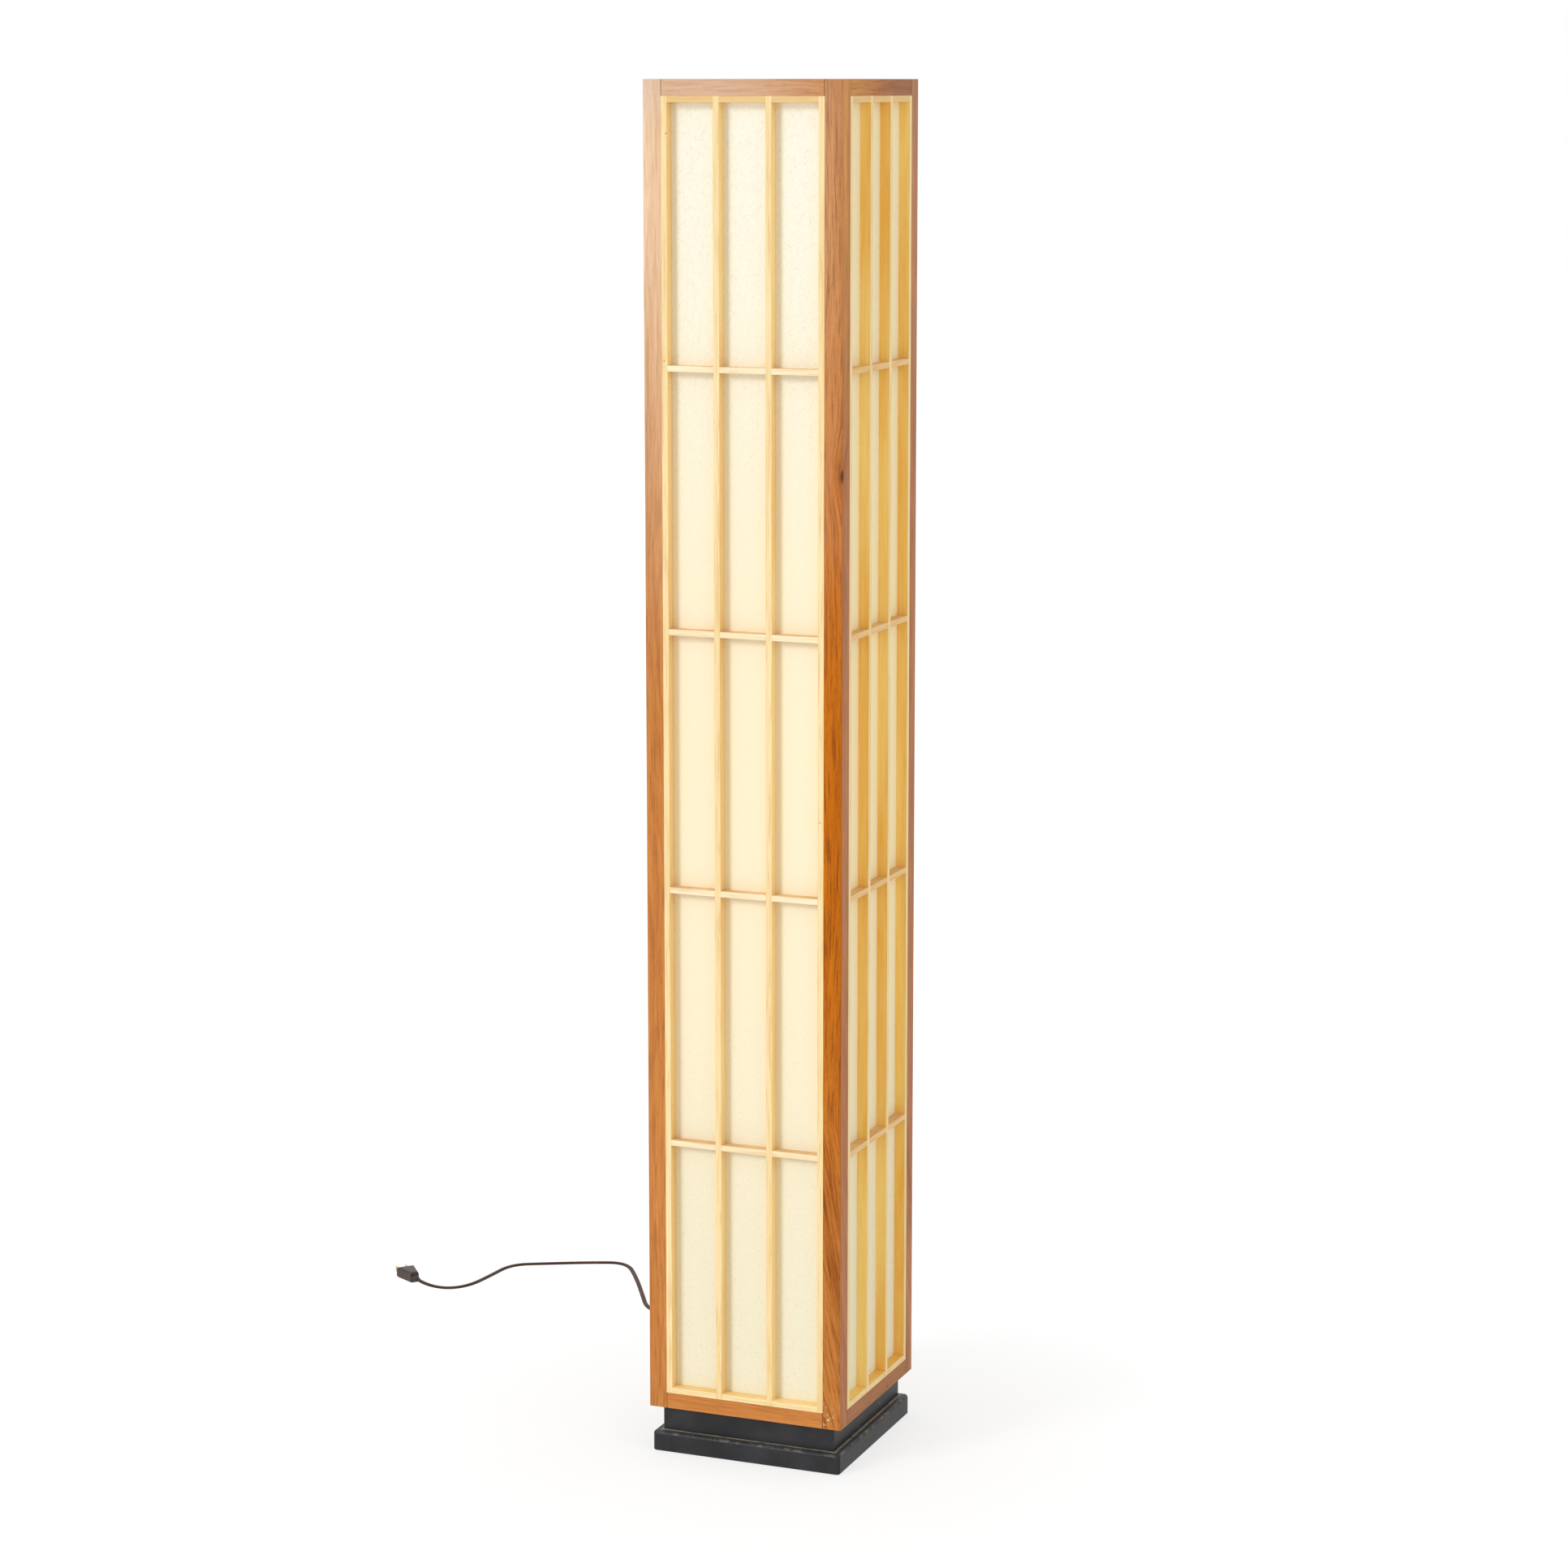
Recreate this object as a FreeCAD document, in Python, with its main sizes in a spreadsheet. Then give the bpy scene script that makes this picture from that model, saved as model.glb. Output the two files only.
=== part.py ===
"""Andon floor lamp: a tall square tower of posts and rails with shoji panels, on a black plinth.

Millimetres, +Z up, origin at the middle of the slab's underside. The front faces -Y, the right side +X.
"""
import FreeCAD, Part
import math
import os
import re

import Sketcher

Vector = FreeCAD.Vector
UP = Vector(0, 0, 1)

# Driving dimensions
SIZES = {
    # tower: four posts with rails between them
    "tower_side": 229, "tower_height": 1467.5, "post_side": 21, "arris_round": 2, "rail_height": 17.7,
    "tenon_thick": 7, "tenon_shoulder": 3, "tenon_play": 0.1, "mortise_room": 0.5, "overrun": 1,
    # shoji panels: bars, their stubs, and the paper behind
    "bar_face": 6.8, "crossbar_face": 6.5, "bar_depth": 12, "paper_thick": 0.6, "paper_margin": 4.4,
    "stub_length": 2.5, "stub_thick": 4, "stub_height": 4.2,
    # hinges of the door, which is the rear panel
    "door_gap": 0.8, "leaf_thick": 1, "leaf_width": 9, "hinge_height": 30, "hinge_inset": 110,
    "leaf_play": 0.3, "knuckle_radius": 2, "knuckle_clear": 0.4, "knuckle_gap": 0.3,
    "pin_radius": 1, "pin_play": 0.06, "screw_radius": 1, "screw_head_radius": 1.9, "screw_head_height": 0.9,
    "leaf_screw_length": 5, "leaf_screw_inset": 7,
    # what the closed door lies against
    "stop_depth": 8, "stop_clear": 0.4, "magnet_height": 16, "magnet_depth": 4, "strike_thick": 1,
    "strike_width": 3.6,
    # plinth: slab, neck of four mitred boards, board that closes the tower; insets are from the tower's faces
    "slab_inset": 2.5, "slab_height": 23, "slab_corner_round": 4.5, "slab_shoulder_round": 4,
    "slab_foot_round": 1.5, "neck_inset": 12.25, "neck_height": 29.5, "neck_thick": 12,
    "board_height": 12, "board_play": 0.15, "wire_hole_radius": 5,
    "plinth_screw_radius": 2, "plinth_screw_grip": 12, "plinth_head_radius": 4, "plinth_head_height": 2.2,
    "plinth_screw_inset": 45,
    # steel arms on the post's inner corner
    "arm_width": 14, "arm_thick": 2, "flange_thick": 1.6, "flange_reach": 7.8, "flange_height": 26,
    "arm_screw_length": 9, "arm_screw_drop": 7, "arm_screw_pitch": 11, "arm_screw_stagger": 5,
    # lamp holders and their threaded shells
    "holder_foot_radius": 20, "holder_foot_height": 6, "holder_flare": 3, "holder_radius": 17,
    "holder_height": 40, "holder_floor": 14, "shell_thick": 0.5, "shell_play": 0.1, "shell_sink": 2,
    # bulbs
    "cap_radius": 13, "cap_play": 0.3, "cap_height": 25, "cap_thick": 0.4, "cap_step": 3,
    "cap_foot_radius": 7, "cap_lift": 0.5, "globe_radius": 30, "glass_thick": 0.8, "glass_slope": 21,
    "glass_tuck": 6, "tuck_play": 0.2,
    # wires inside: how far each stands off the post's corner, and their bends
    "wire_radius": 1.5, "wire_play": 0.5, "wire_spread": 2, "wire_rise": 2.5, "near_wire": 8,
    "far_wire": 13.5, "wire_drop": 9, "wire_sag": 1, "wire_lead": 30, "wire_turn": 40,
    # cord and its bushing
    "cord_width": 5.5, "exit_height": 38, "bushing_length": 26, "bushing_radius": 5.5, "bushing_play": 0.1,
    "bushing_flange_radius": 7, "bushing_flange_height": 2, "bushing_tip_radius": 3.6,
    # switch in the cord
    "switch_length": 56, "switch_width": 24, "switch_height": 15, "switch_round": 4,
    "rocker_length": 18, "rocker_width": 9, "rocker_depth": 5, "rocker_stand": 2.2, "rocker_tilt": 8,
    "rocker_clear": 0.6, "rocker_pin_radius": 1,
    # coil and its tie; the share is where the tie crosses a turn
    "coil_inner": 24, "coil_pitch": 6.1, "coil_step": 6, "coil_lift": 1.45, "tie_share": 0.125,
    "tie_width": 6, "tie_thick": 0.8, "tie_clear": 0.6,
    # plug
    "plug_length": 32, "plug_width": 24, "plug_height": 14, "plug_neck_width": 11, "plug_round": 3,
    "blade_length": 16, "blade_width": 6.35, "blade_thick": 1.5, "blade_spacing": 12.7,
}
COLUMNS = 3
ROWS = 5
COIL_TURNS = 5
ARM_ROWS = (0, 2)  # crossbars, counted from below, whose tops the two arms are level with
SIDES = ("front", "right", "back", "left")
POSTS = ("front_left", "front_right", "back_right", "back_left")
QUARTER = 90
ARC_SHARE = 0.45  # of the shorter run, taken by each bend of a cord
GAP_POINTS = 1200
TINY = 1e-6

# Places worked out from the sizes, in the order in which they build on each other
PLACES = {
    "half": "tower_side / 2",
    "inner": "half - post_side",
    "tower_low": "slab_height + neck_height",
    "tower_top": "tower_low + tower_height",
    "open_low": "tower_low + rail_height",
    "open_top": "tower_top - rail_height",
    "tenon_face": "half - (post_side - tenon_thick) / 2",
    "tenon_length": "half - tenon_face - mortise_room",
    "lattice_back": "half - bar_depth",
    "paper_back": "lattice_back - paper_thick",
    "hinge_line": "inner - door_gap / 2",
    "pin_line": "half + knuckle_radius + knuckle_clear",
    "stop_width": "door_gap + paper_margin - stop_clear",
    "door_mid": "(open_low + open_top) / 2",
    "neck_half": "half - neck_inset",
    "neck_inner": "neck_half - neck_thick",
    "slab_half": "half - slab_inset",
    "plinth_screw_line": "(inner + neck_half) / 2",
    "board_hole_place": "-inner + (near_wire + far_wire) / 2 / sqrt(2)",
    "flange_face": "-inner + flange_thick",
    "flange_end": "-inner - flange_reach",
    "shell_outer": "cap_radius + cap_play + shell_thick",
    "holder_bore": "shell_outer + shell_play",
    "cap_low": "holder_floor + cap_lift",
    "cap_top": "cap_low + cap_height",
    "globe_neck": "globe_radius * cos(glass_slope)",
    "globe_low": "(globe_neck - cap_radius) / tan(glass_slope)",
    "globe_middle": "cap_top + globe_low + globe_radius * sin(glass_slope)",
    "coil_low": "coil_lift + cord_width / 2",
    "rocker_middle": "switch_height + rocker_stand - rocker_depth / 2",
}

# Routes of the cord on the floor: x, y and height of its middle
LEAD_ROUTE = [(0, 128.25, 38), (0, 152, 38), (0, 176, 17.5), (0, 200, 7.5), (0, 222, 7.5)]
LINK_ROUTE = [(0, 278, 7.5), (0, 302, 7.5), (-16, 329, 3.4), (-48, 343, 2.9), (-88, 343, 4.2),
              (-124.5, 343, 4.2)]
COIL_PLACE = (-130, 303.75)
RUN_ROUTE = [
    (-135.5, 343, 10.2), (-172, 343, 10.2), (-222, 338, 3.4), (-272, 332, 2.8), (-322, 347, 2.8),
    (-352, 400, 2.8), (-388, 462, 2.8), (-425, 517, 2.8), (-470, 500, 2.8), (-522, 474, 2.8),
    (-562, 453, 2.8), (-566, 398, 2.8), (-572, 352, 2.9), (-592, 325, 4.2), (-622, 322, 7),
    (-644, 341, 7),
]
PLUG_HEADING = (-22, 19)

doc = FreeCAD.newDocument("andon_floor_lamp")
nodes = {}


def on_sheets(text):
    """An expression in plain names, with each name led by the sheet that holds it."""
    def owner(found):
        name = found.group()
        if name in SIZES:
            return "sizes." + name
        return "places." + name if name in PLACES else name
    return re.sub(r"[a-z_]+", owner, str(text))


def make_sheet(name, cells, lead=""):
    """A spreadsheet with names in column B and their values in column A under the same alias."""
    sheet = doc.addObject("Spreadsheet::Sheet", name)
    for row, (alias, value) in enumerate(cells.items(), start=1):
        sheet.set(f"B{row}", alias)
        sheet.set(f"A{row}", lead + (on_sheets(value) if lead else str(value)))
        sheet.setAlias(f"A{row}", alias)
    doc.recompute()
    return sheet


sizes = make_sheet("sizes", SIZES)
places = make_sheet("places", PLACES, lead="=")


def number(alias):
    return float((sizes if alias in SIZES else places).get(alias))


def bind(thing, **expressions):
    """Ties properties of an object to the sheets; x, y and z are its place."""
    for prop, text in expressions.items():
        path = "Placement.Base." + prop if prop in ("x", "y", "z") else prop
        thing.setExpression(path, on_sheets(text))
    return thing


def brick(name, low, high):
    """A box from its low corner to its high corner, both given as three expressions."""
    box = doc.addObject("Part::Box", name)
    span = [f"({b}) - ({a})" for a, b in zip(low, high)]
    return bind(box, Length=span[0], Width=span[1], Height=span[2], x=low[0], y=low[1], z=low[2])


def rod(name, radius, height, x, y, z, axis=UP):
    """A cylinder that starts at a place and runs along an axis."""
    thing = bind(doc.addObject("Part::Cylinder", name), Radius=radius, Height=height, x=x, y=y, z=z)
    thing.Placement.Rotation = FreeCAD.Rotation(UP, Vector(*axis))
    return thing


def cone(name, first_radius, last_radius, height, x, y, z, axis=UP):
    thing = doc.addObject("Part::Cone", name)
    bind(thing, Radius1=first_radius, Radius2=last_radius, Height=height, x=x, y=y, z=z)
    thing.Placement.Rotation = FreeCAD.Rotation(UP, Vector(*axis))
    return thing


def group(name, things):
    thing = doc.addObject("Part::Compound", name)
    thing.Links = list(things)
    return thing


def fuse(name, things):
    thing = doc.addObject("Part::MultiFuse", name)
    thing.Shapes = list(things)
    thing.Refine = True
    return thing


def cut(name, base, tools):
    thing = doc.addObject("Part::Cut", name)
    thing.Base = base
    thing.Tool = tools[0] if len(tools) == 1 else group(name + "_tools", tools)
    return thing


def turn(thing, quarters):
    """Carries a piece that was drawn for the front to another side of the tower."""
    thing.Placement = FreeCAD.Placement(Vector(), FreeCAD.Rotation(UP, QUARTER * quarters))
    return thing


def node(name, thing):
    """Names a finished piece; its file gets the same name."""
    thing.Label = name
    nodes[name] = thing


def outline(body, name, plane, corners):
    """A closed sketch of straight lines, each corner held by its two distances from the origin."""
    sketch = body.newObject("Sketcher::SketchObject", name)
    support = next(item for item in body.Origin.OriginFeatures if item.Role == plane)
    sketch.AttachmentSupport = [(support, "")]
    sketch.MapMode = "FlatFace"
    count = len(corners)
    ring = [Vector(math.cos(math.tau * i / count), math.sin(math.tau * i / count)) for i in range(count)]
    for i in range(count):
        sketch.addGeometry(Part.LineSegment(ring[i], ring[(i + 1) % count]))
    for i in range(count):
        sketch.addConstraint(Sketcher.Constraint("Coincident", i, 2, (i + 1) % count, 1))
    for i, corner in enumerate(corners):
        for kind, text, start in zip(("DistanceX", "DistanceY"), corner, ring[i]):
            index = sketch.addConstraint(Sketcher.Constraint(kind, -1, 1, i, 1, start))
            sketch.setExpression(f"Constraints[{index}]", on_sheets(text))
    doc.recompute()
    return sketch


def padded(name, corners, height):
    """A body of one pad on the ground plane."""
    body = doc.addObject("PartDesign::Body", name)
    pad = body.newObject("PartDesign::Pad", name + "_pad")
    pad.Profile = outline(body, name + "_outline", "XY_Plane", corners)
    bind(pad, Length=height)
    doc.recompute()
    return body


def revolved(name, corners):
    """A body turned about Z from corners given as radius and height."""
    body = doc.addObject("PartDesign::Body", name)
    sketch = outline(body, name + "_outline", "XZ_Plane", corners)
    spin = body.newObject("PartDesign::Revolution", name + "_spin")
    spin.Profile = sketch
    spin.ReferenceAxis = (sketch, ["V_Axis"])
    doc.recompute()
    return body


def rounded(body, radius, test):
    """Adds a fillet to a body, on the edges whose middle passes the test."""
    base = body.Tip
    fillet = body.newObject("PartDesign::Fillet", f"{body.Name}_{radius}")
    edges = enumerate(base.Shape.Edges, start=1)
    fillet.Base = (base, [f"Edge{i}" for i, edge in edges if test(edge.CenterOfMass)])
    bind(fillet, Radius=radius)
    body.Tip = fillet
    doc.recompute()
    return body


# Cord and coil paths

def smooth_path(points):
    """Straight runs joined by tangent arcs, each as large as its two runs allow, and their radii."""
    points = [Vector(*p) for p in points]
    edges = []
    radii = []
    start = points[0]
    for before, corner, after in zip(points, points[1:], points[2:]):
        one, two = corner - before, after - corner
        turning = one.getAngle(two)
        reach = ARC_SHARE * min(one.Length, two.Length)
        radius = reach / math.tan(turning / 2)
        one.normalize()
        two.normalize()
        first, last = corner - one * reach, corner + two * reach
        inward = (two - one).normalize()
        middle = corner + inward * (radius / math.cos(turning / 2) - radius)
        edges.append(Part.LineSegment(start, first).toShape())
        edges.append(Part.Arc(first, middle, last).toShape())
        radii.append(radius)
        start = last
    edges.append(Part.LineSegment(start, points[-1]).toShape())
    return Part.Wire(edges), radii


def tube(name, path, radius):
    """A round tube along a path, in one sweep."""
    first = path.Edges[0]
    ring = Part.makeCircle(radius, first.valueAt(first.FirstParameter), first.tangentAt(first.FirstParameter))
    thing = doc.addObject("Part::Feature", name)
    thing.Shape = path.makePipeShell([Part.Wire([ring])], True, False)
    section = math.pi * radius ** 2
    print(f"{name}: length {path.Length:.1f}, volume {thing.Shape.Volume / section / path.Length:.4f} of its own")
    return thing


def routed(name, points, radius):
    path, radii = smooth_path(points)
    print(f"{name}: bends in diameters", [round(r / (2 * radius), 1) for r in radii])
    return tube(name, path, radius)


def arc_from(start, heading, end):
    """The arc that leaves start along heading and ends at end."""
    chord = end - start
    along = Vector(chord).normalize()
    across = (heading - along * heading.dot(along)).normalize()
    sagitta = chord.Length / 2 * math.tan(heading.getAngle(chord) / 2)
    return Part.Arc(start, start + chord / 2 + across * sagitta, end).toShape()


def biarc(start, heading, end, ending):
    """Two arcs that join two points smoothly, with the given headings at their ends."""
    chord = end - start
    curve = 2 * (1 - heading.dot(ending))
    along = chord.dot(heading + ending)
    reach = (math.sqrt(along ** 2 + curve * chord.dot(chord)) - along) / curve
    joint = (start + heading * reach + end - ending * reach) / 2
    return [arc_from(start, heading, joint), arc_from(end, -ending, joint)]


def coil_point(turns):
    """A point of the coil: it spirals in on the floor, climbs a layer, and spirals out on top."""
    off = turns - COIL_TURNS / 2
    radius = number("coil_inner") + number("coil_pitch") * abs(off)
    rise = min(max(2 * off + 1 / 2, 0), 1)
    height = number("coil_low") + number("coil_step") * (1 - math.cos(math.pi * rise)) / 2
    around = math.tau * turns + math.pi / 2
    x, y = COIL_PLACE
    return Vector(x + radius * math.cos(around), y + radius * math.sin(around), height)


def coil_path():
    """Biarcs of a quarter turn, with a straight end of one cord width at each end."""
    steps = [i / 4 for i in range(4 * COIL_TURNS + 1)]
    points = [coil_point(s) for s in steps]
    headings = [(coil_point(s + TINY) - coil_point(s - TINY)).normalize() for s in steps]
    headings[0] = headings[-1] = Vector(-1, 0, 0)
    straight = Vector(-number("cord_width"), 0, 0)
    edges = [Part.LineSegment(points[0] - straight, points[0]).toShape()]
    for i in range(len(steps) - 1):
        edges += biarc(points[i], headings[i], points[i + 1], headings[i + 1])
    edges.append(Part.LineSegment(points[-1], points[-1] + straight).toShape())
    return Part.Wire(Part.__sortEdges__(edges))


def least_gap(path, radius):
    """Least distance between turns, measured on points that lie half an inner turn or more apart."""
    points = path.discretize(Number=GAP_POINTS)
    apart = int(math.pi * number("coil_inner") / path.Length * GAP_POINTS)
    return min((one - two).Length for i, one in enumerate(points) for two in points[i + apart:]) - 2 * radius


# Tower frame

def make_post(name, quarters, extra_cuts):
    """A square post with its outer arris rounded, and mortises for the rails of both its sides."""
    body = padded("blank_" + name, [("-half", "-half"), ("-inner", "-half"), ("-inner", "-inner"),
                                    ("-half", "-inner")], "tower_height")
    edge = -number("half")
    rounded(body, "arris_round", lambda p: max(abs(p.x - edge), abs(p.y - edge)) < TINY)
    bind(body, z="tower_low")
    near, far = "-tenon_face - tenon_play", "-tenon_face + tenon_thick + tenon_play"
    deep, past = "-inner - tenon_length - mortise_room", "-inner + overrun"
    tools = list(extra_cuts)
    for low in ("tower_low", "open_top"):
        bottom = f"{low} + tenon_shoulder - tenon_play"
        top = f"{low} + rail_height - tenon_shoulder + tenon_play"
        tools.append(brick(f"mortise_x_{name}_{low}", (deep, near, bottom), (past, far, top)))
        tools.append(brick(f"mortise_y_{name}_{low}", (near, deep, bottom), (far, past, top)))
    node("post_" + name, turn(cut("mortised_" + name, body, tools), quarters))


def make_rail(name, quarters, low, screws):
    """A rail between two posts, flush with their outside, with a stub tenon at each end."""
    bar = brick("bar_" + name, ("-inner", "-half", low), ("inner", "-inner", f"{low} + rail_height"))
    tenon = brick("tenon_" + name,
                  ("-inner - tenon_length", "-tenon_face", f"{low} + tenon_shoulder"),
                  ("inner + tenon_length", "-tenon_face + tenon_thick", f"{low} + rail_height - tenon_shoulder"))
    rail = fuse("tenoned_" + name, [bar, tenon])
    if screws:
        rail = cut("drilled_" + name, rail, screws)
    node(name, turn(rail, quarters))


# Shoji panels

class Panel:
    """One panel, drawn for the front: a frame, crossbars, uprights half-lapped over both, and paper."""

    def __init__(self, name, quarters, gap="0", frame_cuts=()):
        self.name = name
        self.quarters = quarters
        self.frame_cuts = list(frame_cuts)
        self.low = f"(open_low + {gap})"
        self.top = f"(open_top - {gap})"
        self.out = f"(inner - {gap})"
        self.clear = f"({self.out} - bar_face)"
        self.column = f"((2 * {self.clear} - {COLUMNS - 1} * bar_face) / {COLUMNS})"
        self.row = f"(({self.top} - {self.low} - 2 * bar_face - {ROWS - 1} * crossbar_face) / {ROWS})"

    def upright_span(self, i):
        low = f"(-{self.clear} + {i + 1} * {self.column} + {i} * bar_face)"
        return low, f"({low} + bar_face)"

    def crossbar_span(self, j):
        low = f"({self.low} + bar_face + {j + 1} * {self.row} + {j} * crossbar_face)"
        return low, f"({low} + crossbar_face)"

    def bar(self, name, x, z):
        return brick(f"{self.name}_{name}", (x[0], "-half", z[0]), (x[1], "-lattice_back", z[1]))

    def stub(self, name, x, z, reach, play):
        """The thinner bar that stands out of both ends of a level bar by its reach."""
        near = f"-half + (bar_depth - stub_thick) / 2 - {play}"
        far = f"-half + (bar_depth + stub_thick) / 2 + {play}"
        middle = f"({z[0]} + {z[1]}) / 2"
        return brick(f"{self.name}_{name}",
                     (f"{x[0]} - {reach}", near, f"{middle} - stub_height / 2 - {play}"),
                     (f"{x[1]} + {reach}", far, f"{middle} + stub_height / 2 + {play}"))

    def level_bar(self, name, z):
        """A bar between the stiles with its stubs, and the slightly larger room that its mortises need."""
        x = (f"-{self.clear}", self.clear)
        whole = fuse(f"{self.name}_{name}_stubbed",
                     [self.bar(name, x, z), self.stub(name + "_stub", x, z, "stub_length", "0")])
        return whole, self.stub(name + "_room", x, z, "(stub_length + mortise_room)", "tenon_play")

    def lap(self, name, i, z, at_back):
        """Half of the crossing of upright i and the bar that spans z, at its back or its front."""
        x = self.upright_span(i)
        middle = "-half + bar_depth / 2"
        near, far = (middle, "-lattice_back + overrun") if at_back else ("-half - overrun", middle)
        return brick(f"{self.name}_{name}_lap_{'back' if at_back else 'front'}_{i}", (x[0], near, z[0]),
                     (x[1], far, z[1]))

    def finish(self, piece, things):
        node(f"{self.name}_{piece}", turn(group(f"{self.name}_{piece}_group", things), self.quarters))

    def make(self):
        across = range(COLUMNS - 1)
        spans = {"rail_0": (self.low, f"({self.low} + bar_face)"),
                 "rail_1": (f"({self.top} - bar_face)", self.top)}
        crossings = {"rail_0": (f"{self.low} - overrun", spans["rail_0"][1]),
                     "rail_1": (spans["rail_1"][0], f"{self.top} + overrun")}
        for j in range(ROWS - 1):
            spans[f"crossbar_{j}"] = crossings[f"crossbar_{j}"] = self.crossbar_span(j)
        lapped, in_stiles = {}, self.frame_cuts
        for name, z in spans.items():
            bar, room = self.level_bar(name, z)
            laps = [self.lap(name, i, crossings[name], False) for i in across]
            lapped[name] = cut(f"{self.name}_{name}_lapped", bar, laps)
            in_stiles.append(room)
        whole = (self.low, self.top)
        stiles = [self.bar("stile_0", (f"-{self.out}", f"-{self.clear}"), whole),
                  self.bar("stile_1", (self.clear, self.out), whole)]
        self.finish("lattice_frame",
                    [cut(f"{self.name}_stile_cut_{i}", bar, in_stiles) for i, bar in enumerate(stiles)]
                    + [lapped.pop("rail_0"), lapped.pop("rail_1")])
        self.finish("lattice_crossbars", lapped.values())
        self.finish("lattice_uprights", [
            cut(f"{self.name}_upright_cut_{i}", self.bar(f"upright_{i}", self.upright_span(i), whole),
                [self.lap(name, i, z, True) for name, z in crossings.items()]) for i in across])
        edge = f"({self.out} - paper_margin)"
        self.finish("paper", [brick(
            self.name + "_sheet", (f"-{edge}", "-lattice_back", f"{self.low} + paper_margin"),
            (edge, "-paper_back", f"{self.top} - paper_margin"))])


# Door hardware, drawn for the front with the hinges on its left

HINGE_LOWS = ("open_low + hinge_inset", "door_mid - hinge_height / 2", "open_top - hinge_inset - hinge_height")


class HingeSide:
    """The leaves and screws on one side of the three hinges: in the post, or in the door's stile."""

    def __init__(self, owner, on_door):
        self.owner = owner
        self.on_door = on_door
        gap_face = f"-hinge_line {'+' if on_door else '-'} leaf_play / 2"
        far_face = f"{gap_face} {'+' if on_door else '-'} leaf_thick"
        self.x = (gap_face, far_face) if on_door else (far_face, gap_face)
        self.screws = [self.screw(i, j, gap_face) for i in range(len(HINGE_LOWS)) for j in range(2)]

    def screw(self, i, j, face):
        """A countersunk screw, driven away from the gap."""
        inset = ("leaf_screw_inset", "hinge_height - leaf_screw_inset")[j]
        place = (face, "-half + leaf_width / 2", f"{HINGE_LOWS[i]} + {inset}")
        axis = (1, 0, 0) if self.on_door else (-1, 0, 0)
        return fuse(f"{self.owner}_screw_{i}{j}", [
            cone(f"{self.owner}_head_{i}{j}", "screw_head_radius", "screw_radius", "screw_head_height", *place, axis),
            rod(f"{self.owner}_shank_{i}{j}", "screw_radius", "leaf_screw_length", *place, axis)])

    def recesses(self):
        return [brick(f"{self.owner}_recess_{i}", (self.x[0], "-half - overrun", low),
                      (self.x[1], "-half + leaf_width", f"{low} + hinge_height"))
                for i, low in enumerate(HINGE_LOWS)]

    def knuckle_spans(self, low):
        """The door has the middle third of the pin, the frame the two outer thirds."""
        one, two, top = (f"{low} + {i + 1} * hinge_height / 3" for i in range(3))
        if self.on_door:
            return [(f"{one} + knuckle_gap", f"{two} - knuckle_gap")]
        return [(low, one), (two, top)]

    def leaf(self, i, low):
        owner = f"{self.owner}_{i}"
        parts = [brick(owner + "_plate", (self.x[0], "-half", low),
                       (self.x[1], "-half + leaf_width", f"{low} + hinge_height"))]
        for j, (bottom, top) in enumerate(self.knuckle_spans(low)):
            parts.append(brick(f"{owner}_tab_{j}", (self.x[0], "-pin_line", bottom),
                               (self.x[1], "-half + overrun", top)))
            parts.append(rod(f"{owner}_knuckle_{j}", "knuckle_radius", f"{top} - ({bottom})",
                             "-hinge_line", "-pin_line", bottom))
        bore = rod(owner + "_bore", "pin_radius + pin_play", "hinge_height + 2 * overrun",
                   "-hinge_line", "-pin_line", f"{low} - overrun")
        return cut(owner + "_leaf", fuse(owner + "_blank", parts), [bore] + self.screws[2 * i:2 * i + 2])

    def make(self):
        leaves = [self.leaf(i, low) for i, low in enumerate(HINGE_LOWS)]
        node(self.owner + "_hinge_leaves", turn(group(self.owner + "_leaves", leaves), SIDES.index("back")))
        node(self.owner + "_hinge_screws", turn(group(self.owner + "_screws", self.screws), SIDES.index("back")))
        return self.recesses() + self.screws


def make_door_hardware():
    """Hinges, stops, magnet and strike; returns what is cut from the post and from the door's stile."""
    back = SIDES.index("back")
    post_cuts = HingeSide("frame", on_door=False).make()
    stile_cuts = HingeSide("door", on_door=True).make()
    pins = [rod(f"pin_{i}", "pin_radius", "hinge_height", "-hinge_line", "-pin_line", low)
            for i, low in enumerate(HINGE_LOWS)]
    node("hinge_pins", turn(group("pins", pins), back))
    near = "-lattice_back + stop_clear"
    far = f"{near} + stop_depth"
    middle = ("door_mid - magnet_height / 2", "door_mid + magnet_height / 2")
    strip_low = brick("strip_low", ("-inner", near, "open_low"), ("-inner + stop_width", far, "open_top"))
    strip_high = brick("strip_high", ("inner - stop_width", near, "open_low"), ("inner", far, "open_top"))
    magnet = brick("magnet", ("inner - stop_width", near, middle[0]),
                   ("inner - door_gap - stop_clear", f"{near} + magnet_depth", middle[1]))
    strike = brick("strike", ("inner - door_gap - strike_width", "-lattice_back - strike_thick", middle[0]),
                   ("inner - door_gap - stop_clear", "-lattice_back", middle[1]))
    node("door_stop_strips", turn(group("strips", [strip_low, cut("strip_cut", strip_high, [magnet])]), back))
    node("catch_magnet", turn(group("magnet_group", [magnet]), back))
    node("door_strike", turn(group("strike_group", [strike]), back))
    return post_cuts, stile_cuts + [strike]


# Plinth

def plinth_screws():
    """Two screws drawn for the front, up through slab and neck into the bottom rail."""
    length = "tower_low + plinth_screw_grip"
    screws = []
    for i, sign in enumerate(("-", "")):
        place = (f"{sign}plinth_screw_inset", "-plinth_screw_line", "0")
        screws.append(fuse(f"plinth_screw_{i}", [
            cone(f"plinth_head_{i}", "plinth_head_radius", "plinth_screw_radius", "plinth_head_height", *place),
            rod(f"plinth_shank_{i}", "plinth_screw_radius", length, *place)]))
    return screws


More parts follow.
